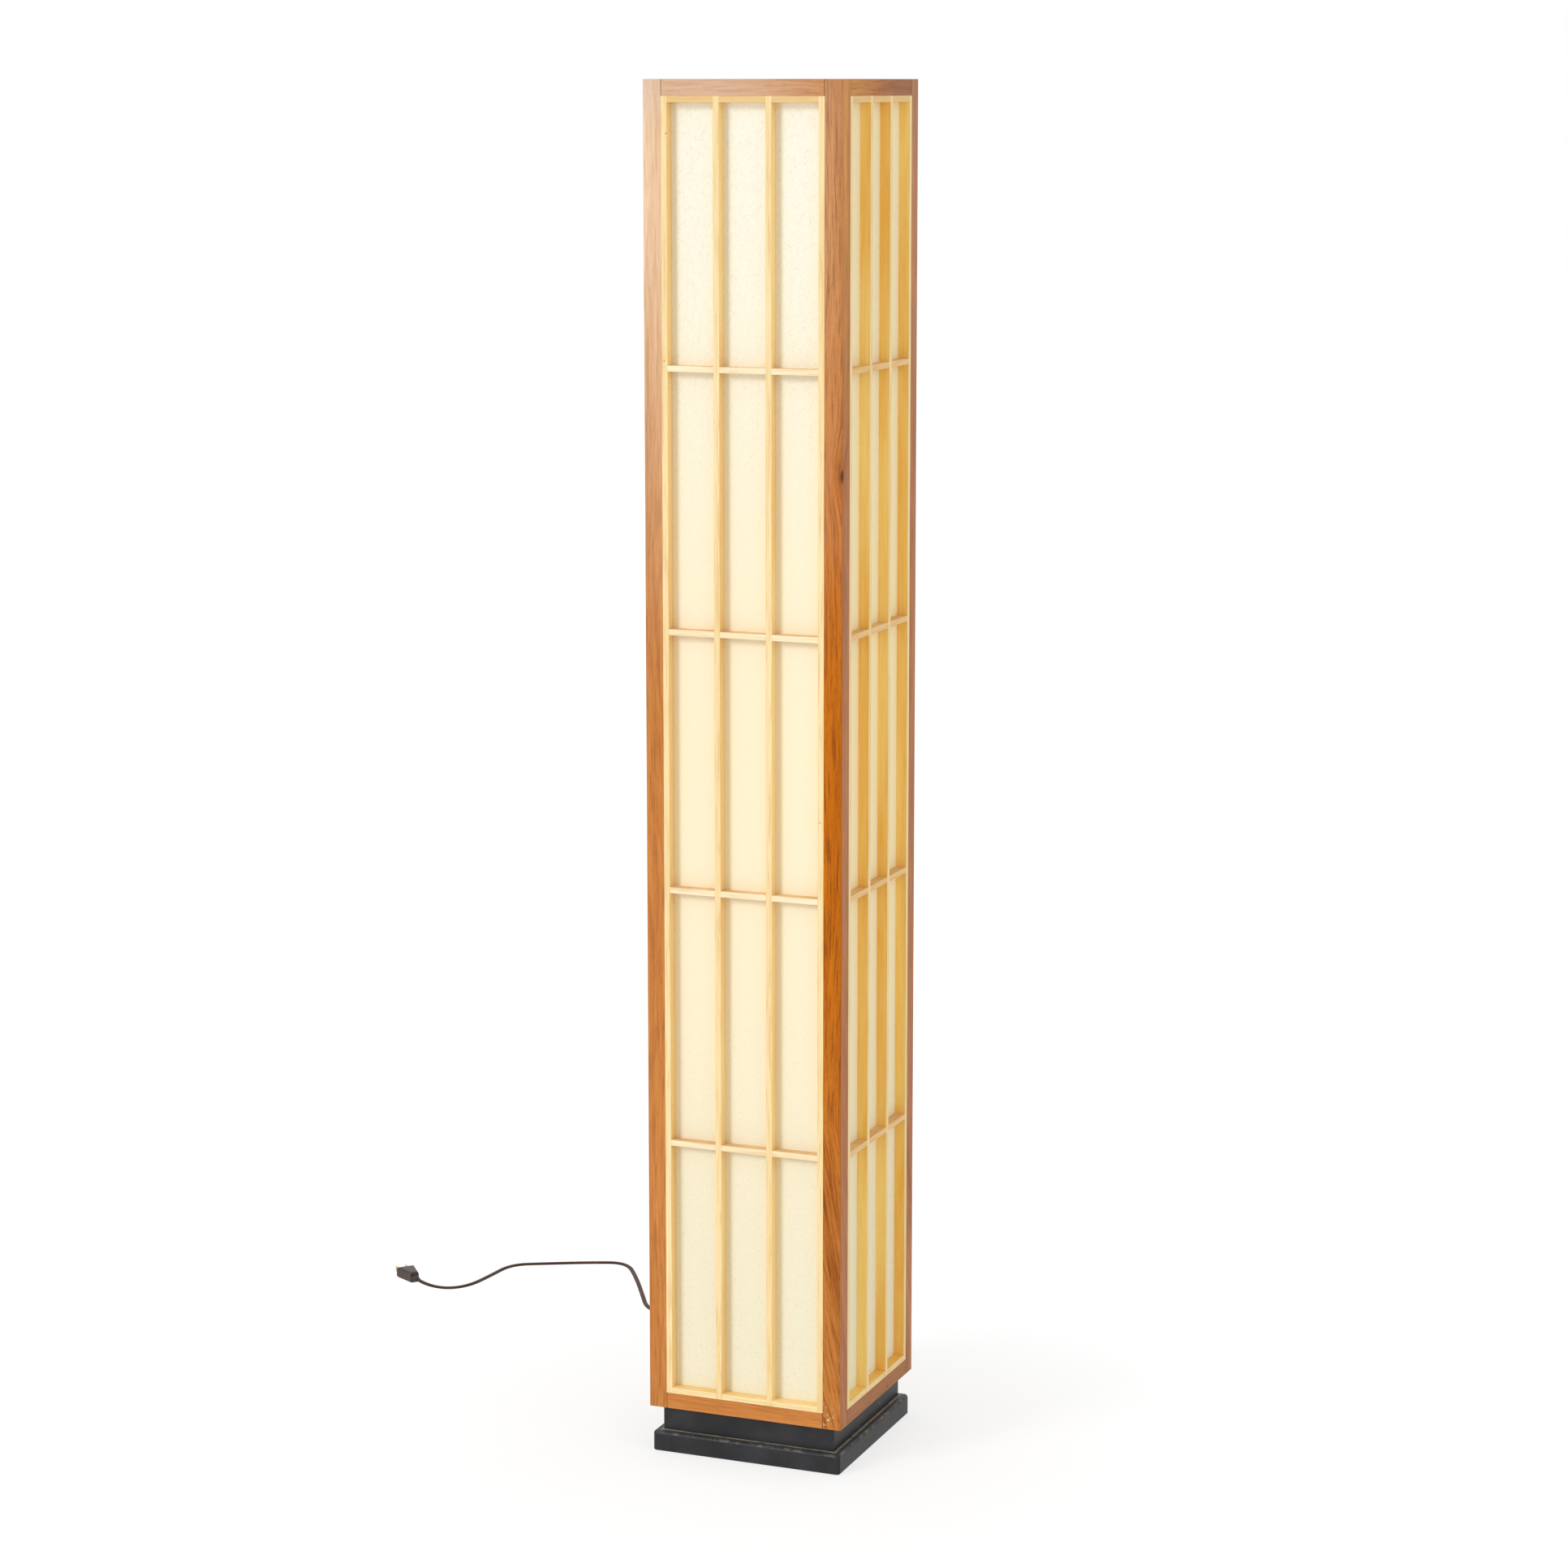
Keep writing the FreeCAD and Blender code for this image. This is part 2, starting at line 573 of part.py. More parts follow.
def make_plinth(screws):
    around = [turn(group("plinth_pair_" + side, screws), i) for i, side in enumerate(SIDES)]
    node("plinth_screws", group("plinth_screw_group", around))
    corners = [("-slab_half", "-slab_half"), ("slab_half", "-slab_half"), ("slab_half", "slab_half"),
               ("-slab_half", "slab_half")]
    slab = padded("slab_blank", corners, "slab_height")
    high = number("slab_height")
    rounded(slab, "slab_corner_round", lambda p: abs(p.z - high / 2) < TINY)
    rounded(slab, "slab_shoulder_round", lambda p: abs(p.z - high) < TINY)
    rounded(slab, "slab_foot_round", lambda p: abs(p.z) < TINY)
    node("base_slab", cut("slab", slab, around))
    boards = []
    for i, side in enumerate(SIDES):
        board = doc.addObject("Part::Wedge", "neck_" + side)
        bind(board, Xmin="-neck_half", Xmax="neck_half", X2min="-neck_inner", X2max="neck_inner",
             Ymin="-neck_half", Ymax="-neck_inner", Zmin="slab_height", Zmax="tower_low",
             Z2min="slab_height", Z2max="tower_low")
        tools = list(screws)
        if side == "back":
            tools.append(rod("bushing_hole", "bushing_radius + bushing_play", "neck_thick + 2 * overrun",
                             "0", "-neck_half - overrun", "exit_height", (0, 1, 0)))
        boards.append(turn(cut("neck_board_" + side, board, tools), i))
    node("neck_boards", group("neck", boards))
    edge = "(inner - board_play)"
    board = brick("board", (f"-{edge}", f"-{edge}", "tower_low"), (edge, edge, "tower_low + board_height"))
    hole = rod("board_hole", "wire_hole_radius", "board_height + 2 * overrun",
               "board_hole_place", "board_hole_place", "tower_low - overrun")
    node("bottom_board", cut("drilled_board", board, [hole]))


# Lamp holders on their arms, bulbs and wires

def arm_screws(name, level):
    """Countersunk screws through both flanges; the two pairs pass each other at different heights."""
    screws = []
    for i, axis in enumerate(((-1, 0, 0), (0, -1, 0))):
        for j in range(2):
            drop = f"arm_screw_drop + {i} * arm_screw_stagger + {j} * arm_screw_pitch"
            along = "(-inner + flange_end) / 2"
            place = (("flange_face", along), (along, "flange_face"))[i] + (f"{level} - ({drop})",)
            screws.append(fuse(f"{name}_screw_{i}{j}", [
                cone(f"{name}_head_{i}{j}", "screw_head_radius", "screw_radius", "screw_head_height", *place, axis),
                rod(f"{name}_shank_{i}{j}", "screw_radius", "arm_screw_length", *place, axis)]))
    return screws


def make_arm(name, level, screws):
    """A steel arm: two flanges on the post's inner corner, a strip to the middle and a round seat."""
    low = f"{level} - flange_height"
    under = f"{level} - arm_thick"
    flanges = [brick(name + "_flange_x", ("-inner", "flange_end", low), ("flange_face", "flange_face", level)),
               brick(name + "_flange_y", ("flange_end", "-inner", low), ("flange_face", "flange_face", level))]
    strip = bind(doc.addObject("Part::Box", name + "_strip"),
                 Length="inner * sqrt(2)", Width="arm_width", Height="arm_thick",
                 x="-inner + arm_width / 2 / sqrt(2)", y="-inner - arm_width / 2 / sqrt(2)", z=under)
    strip.Placement.Rotation = FreeCAD.Rotation(UP, QUARTER / 2)
    seat = rod(name + "_seat", "holder_foot_radius", "arm_thick", "0", "0", under)
    holes = [rod(f"{name}_hole_{i}", "wire_radius + wire_play", "arm_thick + 2 * overrun", place, place,
                 f"{under} - overrun") for i, place in enumerate(("-inner + near_wire / sqrt(2)", "0"))]
    return cut(name, fuse(name + "_blank", flanges + [strip, seat]), holes + screws)


def make_holder(name, level):
    """A turned holder with a foot and a bore, and the threaded shell in it."""
    hole = "wire_radius + wire_play"
    holder = revolved(name, [
        (hole, "0"), ("holder_foot_radius", "0"), ("holder_foot_radius", "holder_foot_height"),
        ("holder_radius", "holder_foot_height + holder_flare"), ("holder_radius", "holder_height"),
        ("holder_bore", "holder_height"), ("holder_bore", "holder_floor"), (hole, "holder_floor")])
    shell = revolved(name + "_shell", [
        ("shell_outer - shell_thick", "holder_floor"), ("shell_outer", "holder_floor"),
        ("shell_outer", "holder_height - shell_sink"), ("shell_outer - shell_thick", "holder_height - shell_sink")])
    return bind(holder, z=level), bind(shell, z=level)


def make_bulb(name, level):
    """Hollow glass, a globe on a sloping neck that is tucked into a turned metal cap."""
    def hull(kind, inset):
        ball = bind(doc.addObject("Part::Sphere", f"{name}_{kind}_ball"),
                    Radius=f"globe_radius - {inset}", z="globe_middle")
        neck = cone(f"{name}_{kind}_neck", f"cap_radius - {inset}", f"globe_neck - {inset}", "globe_low",
                    "0", "0", "cap_top")
        return fuse(f"{name}_{kind}", [ball, neck])
    tuck = rod(name + "_tuck", "cap_radius - cap_thick - tuck_play", "glass_tuck", "0", "0", "cap_top - glass_tuck")
    whole = fuse(name + "_whole_glass", [hull("outer", "0"), tuck])
    glass = group(name + "_glass_group", [cut(name + "_blown", whole, [hull("inner", "glass_thick")])])
    node(name + "_glass", bind(glass, z=level))
    cap = revolved(name + "_cap_turned", [
        ("0", "cap_low"), ("cap_foot_radius", "cap_low"), ("cap_radius", "cap_low + cap_step"),
        ("cap_radius", "cap_top"), ("cap_radius - cap_thick", "cap_top"),
        ("cap_radius - cap_thick", "cap_low + 2 * cap_step"), ("0", "cap_low + 2 * cap_step")])
    node(name + "_cap", bind(cap, z=level))


def wire_route(level, stand_off, side):
    """From the bushing to the post's corner, up beside the post, along under the arm, up into the holder."""
    corner = -number("inner") + stand_off / math.sqrt(2)
    across = side * number("wire_spread")
    start = number("neck_inner")
    height = number("exit_height") + side * number("wire_rise")
    under = level - number("arm_thick") - number("wire_drop")
    bend = number("wire_turn")
    bent = corner + bend / math.sqrt(2)
    return [(across, start, height), (across, start - number("wire_lead"), height),
            (corner, corner + bend, height), (corner, corner, height), (corner, corner, under),
            (bent, bent, under - number("wire_sag")), (0, 0, under), (0, 0, level + number("holder_floor"))]


def make_lights(crossbar_top):
    """Two arms, each with a holder, a bulb and a wire; returns the screws, which the post is drilled for."""
    names = ("lower", "upper")
    stand_offs = ("far_wire", "near_wire")
    probe = doc.addObject("Part::Box", "level_probe")
    arms, screws, holders, shells, wires = [], [], [], [], []
    for name, row, stand_off, side in zip(names, ARM_ROWS, stand_offs, (-1, 1)):
        level = crossbar_top(row)
        own_screws = arm_screws(name + "_arm", level)
        arms.append(make_arm(name + "_arm", level, own_screws))
        screws += own_screws
        holder, shell = make_holder(name + "_holder", level)
        holders.append(holder)
        shells.append(shell)
        make_bulb(name + "_bulb", level)
        bind(probe, Height=level)
        doc.recompute()
        route = wire_route(probe.Height.Value, number(stand_off), side)
        wires.append(routed(name + "_wire", route, number("wire_radius")))
    doc.removeObject(probe.Name)
    for name, things in (("holder_arms", arms), ("arm_screws", screws), ("lamp_holders", holders),
                         ("holder_shells", shells), ("holder_wires", wires)):
        node(name, group(name + "_group", things))
    return screws


# Cord and what is on it

def make_bushing():
    """A tapered sleeve with a flange, through the rear board of the neck."""
    outward = (0, 1, 0)
    node("cord_bushing", fuse("bushing", [
        cone("bushing_taper", "bushing_radius", "bushing_tip_radius", "bushing_length",
             "0", "neck_half", "exit_height", outward),
        rod("bushing_flange", "bushing_flange_radius", "bushing_flange_height",
            "0", "neck_half", "exit_height", outward),
        rod("bushing_root", "bushing_radius", "neck_thick", "0", "neck_inner", "exit_height", outward)]))


def make_switch():
    """A rounded case with a slot across a pin, and a rocker tipped on that pin."""
    wide, long = "switch_width / 2", "switch_length / 2"
    case = padded("switch_blank", [(f"-{wide}", f"-{long}"), (wide, f"-{long}"), (wide, long),
                                   (f"-{wide}", long)], "switch_height")
    rounded(case, "switch_round", lambda p: p.z > TINY)
    floor = "rocker_middle - rocker_depth / 2 - rocker_length / 2 * sin(rocker_tilt) - rocker_clear"
    slot = brick("switch_slot", ("-rocker_width / 2 - rocker_clear", "-rocker_length / 2 - rocker_clear", floor),
                 ("rocker_width / 2 + rocker_clear", "rocker_length / 2 + rocker_clear", "switch_height + overrun"))
    pin_end = "-rocker_width / 2 - rocker_clear - overrun"
    pin = rod("rocker_pin", "rocker_pin_radius", f"-2 * ({pin_end})", pin_end, "0", "rocker_middle", (1, 0, 0))
    bore = rod("rocker_bore", "rocker_pin_radius + pin_play", f"-2 * ({pin_end})", pin_end, "0", "rocker_middle",
               (1, 0, 0))
    rocker = cut("rocker", brick(
        "rocker_block", ("-rocker_width / 2", "-rocker_length / 2", "rocker_middle - rocker_depth / 2"),
        ("rocker_width / 2", "rocker_length / 2", "rocker_middle + rocker_depth / 2")), [bore])
    tilt = FreeCAD.Rotation(Vector(1, 0, 0), number("rocker_tilt"))
    axle = Vector(0, 0, number("rocker_middle"))
    rocker.Placement = FreeCAD.Placement(axle - tilt.multVec(axle), tilt)
    x, y, _ = LEAD_ROUTE[-1]
    place = Vector(x, y + number("switch_length") / 2, 0)
    for name, thing in (("switch_case", fuse("case", [cut("slotted_case", case, [slot]), pin])),
                        ("switch_rocker", rocker)):
        piece = group(name + "_group", [thing])
        piece.Placement.Base = place
        node(name, piece)


def make_plug():
    """A moulded plug that narrows to the cord, and two flat blades."""
    body = padded("plug_blank", [("0", "-plug_neck_width / 2"), ("plug_length", "-plug_width / 2"),
                                 ("plug_length", "plug_width / 2"), ("0", "plug_neck_width / 2")], "plug_height")
    high = number("plug_height")
    rounded(body, "plug_round", lambda p: abs(p.z - high / 2) > high / 2 - TINY)
    blades = []
    for i, sign in enumerate(("-", "")):
        middle = f"{sign}blade_spacing / 2"
        blades.append(brick(f"blade_{i}",
                            ("plug_length", f"{middle} - blade_thick / 2", "(plug_height - blade_width) / 2"),
                            ("plug_length + blade_length", f"{middle} + blade_thick / 2",
                             "(plug_height + blade_width) / 2")))
    x, y, z = RUN_ROUTE[-1]
    place = FreeCAD.Placement(Vector(x, y, z - high / 2), FreeCAD.Rotation(Vector(1, 0, 0), Vector(*PLUG_HEADING)))
    for name, things in (("plug_body", [body]), ("plug_blades", blades)):
        piece = group(name + "_group", things)
        piece.Placement = place
        node(name, piece)


def make_tie():
    """A flat band round all turns of the coil, an eighth of a turn past the climb's middle."""
    inner = "coil_inner + coil_pitch * tie_share - cord_width / 2 - tie_clear"
    outer = f"coil_inner + coil_pitch * ({COIL_TURNS // 2} + tie_share) + cord_width / 2 + tie_clear"
    low = "coil_lift - tie_clear"
    top = "coil_low + coil_step + cord_width / 2 + tie_clear"
    outside = brick("tie_outside", (f"{inner} - tie_thick", "-tie_width / 2", f"{low} - tie_thick"),
                    (f"{outer} + tie_thick", "tie_width / 2", f"{top} + tie_thick"))
    inside = brick("tie_inside", (inner, "-tie_width / 2 - overrun", low), (outer, "tie_width / 2 + overrun", top))
    tie = group("tie", [cut("tie_band", outside, [inside])])
    around = FreeCAD.Rotation(UP, QUARTER * (3 + 4 * number("tie_share")))
    tie.Placement = FreeCAD.Placement(Vector(*COIL_PLACE), around)
    node("coil_tie", tie)


def make_cord():
    radius = number("cord_width") / 2
    for name, route in (("cord_lead", LEAD_ROUTE), ("cord_link", LINK_ROUTE), ("cord_run", RUN_ROUTE)):
        node(name, routed(name + "_tube", route, radius))
    path = coil_path()
    node("cord_coil", tube("coil_tube", path, radius))
    print(f"coil: least gap to itself {least_gap(path, radius):.2f}")
    make_tie()


def make_lamp():
    post_cuts, stile_cuts = make_door_hardware()
    front = Panel("front", 0)
    front.make()
    Panel("right", 1).make()
    Panel("door", 2, "door_gap", stile_cuts).make()
    Panel("left", 3).make()
    arm_cuts = make_lights(lambda row: front.crossbar_span(row)[1])
    cuts = {"back_right": post_cuts, "front_left": arm_cuts}
    for i, name in enumerate(POSTS):
        make_post(name, i, cuts.get(name, []))
    screws = plinth_screws()
    for i, side in enumerate(SIDES):
        make_rail("top_rail_" + side, i, "open_top", [])
        make_rail("bottom_rail_" + side, i, "tower_low", screws)
    make_plinth(screws)
    make_bushing()
    make_cord()
    make_switch()
    make_plug()


def check_and_write():
    doc.recompute()
    faults = [item.Name for item in doc.Objects if {"Invalid", "Error"} & set(item.State)]
    for name, thing in nodes.items():
        if thing.Shape.isNull() or not thing.Shape.isValid() or not thing.Shape.Solids:
            faults.append(name)
    if faults:
        raise RuntimeError("failed: " + ", ".join(faults))
    os.makedirs("parts", exist_ok=True)
    for name, thing in nodes.items():
        thing.Shape.exportStep(f"parts/{name}.step")
    print(len(nodes), "nodes")


make_lamp()
check_and_write()
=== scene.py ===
"""Looks of the andon floor lamp: wood, paper, paint, cord and the fittings inside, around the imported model."""
import math

import bmesh
import bpy
from mathutils import Matrix, Vector


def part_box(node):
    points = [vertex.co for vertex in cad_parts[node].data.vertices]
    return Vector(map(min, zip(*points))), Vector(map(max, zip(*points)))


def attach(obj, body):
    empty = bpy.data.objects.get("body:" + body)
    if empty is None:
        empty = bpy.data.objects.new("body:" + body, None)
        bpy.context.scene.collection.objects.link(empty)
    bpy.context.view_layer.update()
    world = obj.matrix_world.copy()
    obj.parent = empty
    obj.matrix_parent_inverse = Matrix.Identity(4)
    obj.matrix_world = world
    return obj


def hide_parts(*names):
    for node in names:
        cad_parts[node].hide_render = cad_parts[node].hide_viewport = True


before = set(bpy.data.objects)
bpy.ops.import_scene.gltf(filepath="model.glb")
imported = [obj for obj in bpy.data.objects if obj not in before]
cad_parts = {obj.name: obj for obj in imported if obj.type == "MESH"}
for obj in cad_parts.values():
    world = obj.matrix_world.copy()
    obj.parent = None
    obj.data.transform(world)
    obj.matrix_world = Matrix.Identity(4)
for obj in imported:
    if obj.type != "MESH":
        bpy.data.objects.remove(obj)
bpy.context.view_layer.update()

bpy.context.scene.view_settings.view_transform = "Standard"

# Places on the frame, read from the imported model, in metres
post_low, post_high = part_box("post_front_left")
HALF, INNER = -post_low.x, -post_high.x
TOWER_LOW = post_low.z
OPEN_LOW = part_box("bottom_rail_front")[1].z
OPEN_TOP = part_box("top_rail_front")[0].z
BACK_OF_LATTICE = -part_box("front_lattice_uprights")[1].y
NECK_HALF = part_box("neck_boards")[1].x

BAR_FACE, CROSSBAR_FACE = 0.0068, 0.0065
ROWS, COLUMNS = 5, 3
DOOR_PLAY = 0.0008
SIDES = ("front", "right", "door", "left")  # each a quarter turn on from the one before
MM = 0.001
SHARP = math.radians(38)  # edges that turn by more aren't shaded smooth


def grid_pitch(play=0.0):
    """From one bar's middle to the next, across and up, on a panel with a gap of play all round."""
    across = (2 * (INNER - play - BAR_FACE) - (COLUMNS - 1) * BAR_FACE) / COLUMNS + BAR_FACE
    up = (OPEN_TOP - OPEN_LOW - 2 * play - 2 * BAR_FACE - (ROWS - 1) * CROSSBAR_FACE) / ROWS + CROSSBAR_FACE
    return across, up


def put_in_scene(name, data):
    piece = bpy.data.objects.new(name, data)
    bpy.context.scene.collection.objects.link(piece)
    return piece


def quarter_turns(count):
    return Matrix.Rotation(math.radians(90) * count, 4, "Z")


# Camera

def make_camera():
    camera = put_in_scene("camera", bpy.data.cameras.new("camera"))
    camera.location = (1.5919, -3.9606, 1.5160)
    camera.rotation_euler = (math.radians(90 - 9.126), 0, math.radians(21.875))
    camera.data.lens = 89.8
    camera.data.sensor_width = 36
    camera.data.shift_y = -0.0465
    bpy.context.scene.camera = camera


make_camera()


# Node trees, written as sums

class Signal:
    """What comes out of a node; each operator adds the Math node that works it out."""

    def __init__(self, tree, socket):
        self.tree = tree
        self.socket = socket

    def math(self, operation, *others):
        return self.tree.node("ShaderNodeMath", {"operation": operation}, [self, *others])

    def __add__(self, other):
        return self.math("ADD", other)

    def __sub__(self, other):
        return self.math("SUBTRACT", other)

    def __rsub__(self, other):
        return self.tree.node("ShaderNodeMath", {"operation": "SUBTRACT"}, [other, self])

    def __mul__(self, other):
        return self.math("MULTIPLY", other)

    def __truediv__(self, other):
        return self.math("DIVIDE", other)

    def __pow__(self, other):
        return self.math("POWER", other)

    def __abs__(self):
        return self.math("ABSOLUTE")

    __radd__ = __add__
    __rmul__ = __mul__

    def rise(self, low, high):
        """From 0 at low to 1 at high, smoothly; falls instead where high is the lower."""
        if high < low:
            return 1 - self.rise(high, low)
        return self.tree.node("ShaderNodeMapRange", {"interpolation_type": "SMOOTHSTEP"},
                              {"Value": self, "From Min": low, "From Max": high})

    def most(self, other):
        return self.math("MAXIMUM", other)

    def least(self, other):
        return self.math("MINIMUM", other)


class Tree:
    """A node tree of any kind."""

    def __init__(self, data):
        self.data = data
        data.nodes.clear()

    def node(self, kind, settings=None, sockets=(), out=0):
        """Makes a node: its settings first, then its sockets, each a number, colour or signal."""
        made = self.data.nodes.new(kind)
        for key, value in (settings or {}).items():
            setattr(made, key, value)
        pairs = sockets.items() if isinstance(sockets, dict) else enumerate(sockets)
        for key, value in pairs:
            if isinstance(value, Signal):
                self.data.links.new(value.socket, made.inputs[key])
            else:
                made.inputs[key].default_value = value
        return Signal(self, made.outputs[out]) if made.outputs else None

    def vector(self, operation, *values, out=0):
        return self.node("ShaderNodeVectorMath", {"operation": operation}, values, out)

    def split(self, signal):
        return [self.node("ShaderNodeSeparateXYZ", {}, [signal], i) for i in range(3)]

    def joined(self, x, y, z):
        return self.node("ShaderNodeCombineXYZ", {}, [x, y, z])

    def noise(self, place, scale, detail=2.0, rough=0.5, distort=0.0, out="Fac"):
        return self.node("ShaderNodeTexNoise", {}, {"Vector": place, "Scale": scale, "Detail": detail,
                                                    "Roughness": rough, "Distortion": distort}, out)


def ink(red, green, blue):
    """A colour as written in 0 to 255, as the shaders take it."""
    def linear(value):
        share = value / 255
        return share / 12.92 if share <= 0.04045 else ((share + 0.055) / 1.055) ** 2.4
    return linear(red), linear(green), linear(blue), 1.0


class Paint(Tree):
    """A material: a Principled shader and the patterns that feed it."""

    def __init__(self, name, edge=0.0, **constants):
        self.material = bpy.data.materials.new(name)
        self.material.use_nodes = True
        super().__init__(self.material.node_tree)
        self.place = self.node("ShaderNodeTexCoord", out="Object")
        self.x, self.y, self.z = self.split(self.place)
        self.normal = self.node("ShaderNodeNewGeometry", out="Normal")
        self.soft = self.node("ShaderNodeBevel", {"samples": 6}, {"Radius": edge}) if edge else None
        self.constants = constants

    def facing(self, direction):
        """1 where the surface looks in a direction, -1 where it looks away from it."""
        return self.vector("DOT_PRODUCT", self.normal, direction, out="Value")

    def worn(self, low=0.015, high=0.2):
        """1 along the edges, 0 elsewhere."""
        return (1 - self.facing(self.soft)).rise(low, high)

    def blend(self, share, one, two):
        # the sockets of a colour Mix: factor, A and B, and its result
        return self.node("ShaderNodeMix", {"data_type": "RGBA"}, {0: share, 6: one, 7: two}, 2)

    def stretched(self, axis, share):
        """The place with distances along one axis made shorter, which draws patterns out along it."""
        by = [1.0, 1.0, 1.0]
        by[axis] = share
        return self.vector("MULTIPLY", self.place, tuple(by))

    def spot(self, centre, size):
        """1 at a place, 0 from a distance of size on."""
        return self.vector("DISTANCE", self.place, centre, out="Value").rise(size, size * 0.6)

    def done(self, base, height=None, depth=0.0002, strength=1.0, **sockets):
        """Joins the patterns to the shader; height is the bump's, in units of depth metres."""
        normal = self.soft
        if height is not None:
            links = {"Height": height, "Distance": depth, "Strength": strength}
            if self.soft:
                links["Normal"] = self.soft
            normal = self.node("ShaderNodeBump", {}, links)
        sockets["Base Color"] = base
        if normal:
            sockets["Normal"] = normal
        sockets.update(self.constants)
        shader = self.node("ShaderNodeBsdfPrincipled", {}, sockets)
        self.node("ShaderNodeOutputMaterial", {}, [shader])
        return self.material


class Builder(Tree):
    """A Geometry Nodes tree with named inputs; made once, then used for each piece that it builds."""

    def __init__(self, name, inputs):
        tree = bpy.data.node_groups.new(name, "GeometryNodeTree")
        super().__init__(tree)
        self.sockets = {}
        tree.interface.new_socket("Places", in_out="INPUT", socket_type="NodeSocketGeometry")
        for label, (kind, value) in (inputs | {"Material": ("Material", None)}).items():
            item = tree.interface.new_socket(label, in_out="INPUT", socket_type="NodeSocket" + kind)
            if value is not None:
                item.default_value = value
            self.sockets[label] = item.identifier
        tree.interface.new_socket("Geometry", in_out="OUTPUT", socket_type="NodeSocketGeometry")
        source = tree.nodes.new("NodeGroupInput")
        self.given = {label: Signal(self, source.outputs[label]) for label in ("Places", *self.sockets)}

    def join(self, *parts):
        joined = self.node("GeometryNodeJoinGeometry")
        for part in reversed(parts):
            self.data.links.new(part.socket, joined.socket.node.inputs[0])
        return joined

    def raised(self, part, height):
        shift = self.joined(0.0, 0.0, height)
        return self.node("GeometryNodeTransform", {}, {"Geometry": part, "Translation": shift})

    def grid(self, wide, long, across, along):
        return self.node("GeometryNodeMeshGrid", {}, {"Size X": wide, "Size Y": long,
                                                      "Vertices X": across, "Vertices Y": along})

    def cone(self, vertices, low_radius, top_radius, depth):
        return self.node("GeometryNodeMeshCone", {}, {"Vertices": vertices, "Radius Bottom": low_radius,
                                                      "Radius Top": top_radius, "Depth": depth})

    def turned(self, around, along, shape):
        """A skin wrapped round Z and welded; shape gives it half its width, half its depth and its height."""
        grid = self.grid(1.0, 1.0, around, along)
        across, up, _ = self.split(self.node("GeometryNodeInputPosition"))
        turn = across + 0.5
        wide, deep, height = shape(turn, up + 0.5)
        angle = turn * math.tau
        place = self.joined(wide * angle.math("COSINE"), deep * angle.math("SINE"), height)
        skin = self.node("GeometryNodeSetPosition", {}, {"Geometry": grid, "Position": place})
        return self.node("GeometryNodeMergeByDistance", {}, {"Geometry": skin, "Distance": 1e-6})

    def close(self, geometry):
        """Ends the tree with plain geometry that has its material."""
        geometry = self.node("GeometryNodeRealizeInstances", {}, [geometry])
        geometry = self.node("GeometryNodeSetMaterial", {},
                             {"Geometry": geometry, "Material": self.given["Material"]})
        self.node("NodeGroupOutput", {}, [geometry])
        return self

    def build(self, name, places=(), headings=(), **values):
        """Runs the tree once, on points where it is given some; gives back its result as a plain object."""
        data = bpy.data.meshes.new(name + "_start")
        data.from_pydata(places, [], [])
        heading = data.attributes.new("heading", "FLOAT_VECTOR", "POINT")
        heading.data.foreach_set("vector", [value for direction in headings for value in direction])
        start = put_in_scene(name + "_start", data)
        modifier = start.modifiers.new("build", "NODES")
        modifier.node_group = self.data
        for label, value in values.items():
            modifier[self.sockets[label.replace("_", " ")]] = value
        start.update_tag()
        depsgraph = bpy.context.evaluated_depsgraph_get()
        depsgraph.update()
        data = bpy.data.meshes.new_from_object(start.evaluated_get(depsgraph))
        start.modifiers.clear()
        bpy.data.objects.remove(start)
        data.name = name
        data.shade_smooth()
        data.set_sharp_from_angle(angle=SHARP)
        return put_in_scene(name, data)


def finish_piece(piece, body, nodes=()):
    """Rides a piece on its body, and stands it for CAD nodes."""
    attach(piece, body)
    if nodes:
        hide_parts(*nodes)
    return piece


# Cord

CORE, CORE_OUT = 1.4 * MM, 1.35 * MM  # each core's radius, and how far its middle is from the groove
CORE_ARC, CORE_STEPS = 208, 14  # degrees of each core's round that show
EXIT = (0, 0.12825, 0.038)
SWITCH_END = (0, 0.278, 0.0075)
LEAD_ROUTE = [EXIT, (0, 0.152, 0.038), (0, 0.176, 0.0175), (0, 0.200, 0.0075), (0, 0.222, 0.0075)]
LINK_ROUTE = [SWITCH_END, (0, 0.302, 0.0068), (-0.016, 0.329, 0.0022), (-0.048, 0.343, 0.0016),
              (-0.088, 0.343, 0.0018), (-0.1245, 0.343, 0.0024)]
COIL_MIDDLE = (-0.130, 0.30375)
COIL_TURNS, COIL_POINTS = 5, 14
COIL_INNER, COIL_SPREAD = 24, 6.1  # its tightest radius, and how much wider each turn is, in mm
COIL_LOW, COIL_STEP = 0.0025, 0.0032
RUN_ROUTE = [
    (-0.1355, 0.343, 0.0057), (-0.172, 0.343, 0.0052), (-0.222, 0.338, 0.0018), (-0.272, 0.332, 0.0015),
    (-0.322, 0.347, 0.0015), (-0.352, 0.400, 0.0015), (-0.388, 0.462, 0.0015), (-0.425, 0.517, 0.0015),
    (-0.470, 0.500, 0.0015), (-0.522, 0.474, 0.0015), (-0.562, 0.453, 0.0015), (-0.566, 0.398, 0.0015),
    (-0.572, 0.352, 0.0016), (-0.592, 0.325, 0.0030), (-0.622, 0.322, 0.0068), (-0.644, 0.341, 0.0070),
]


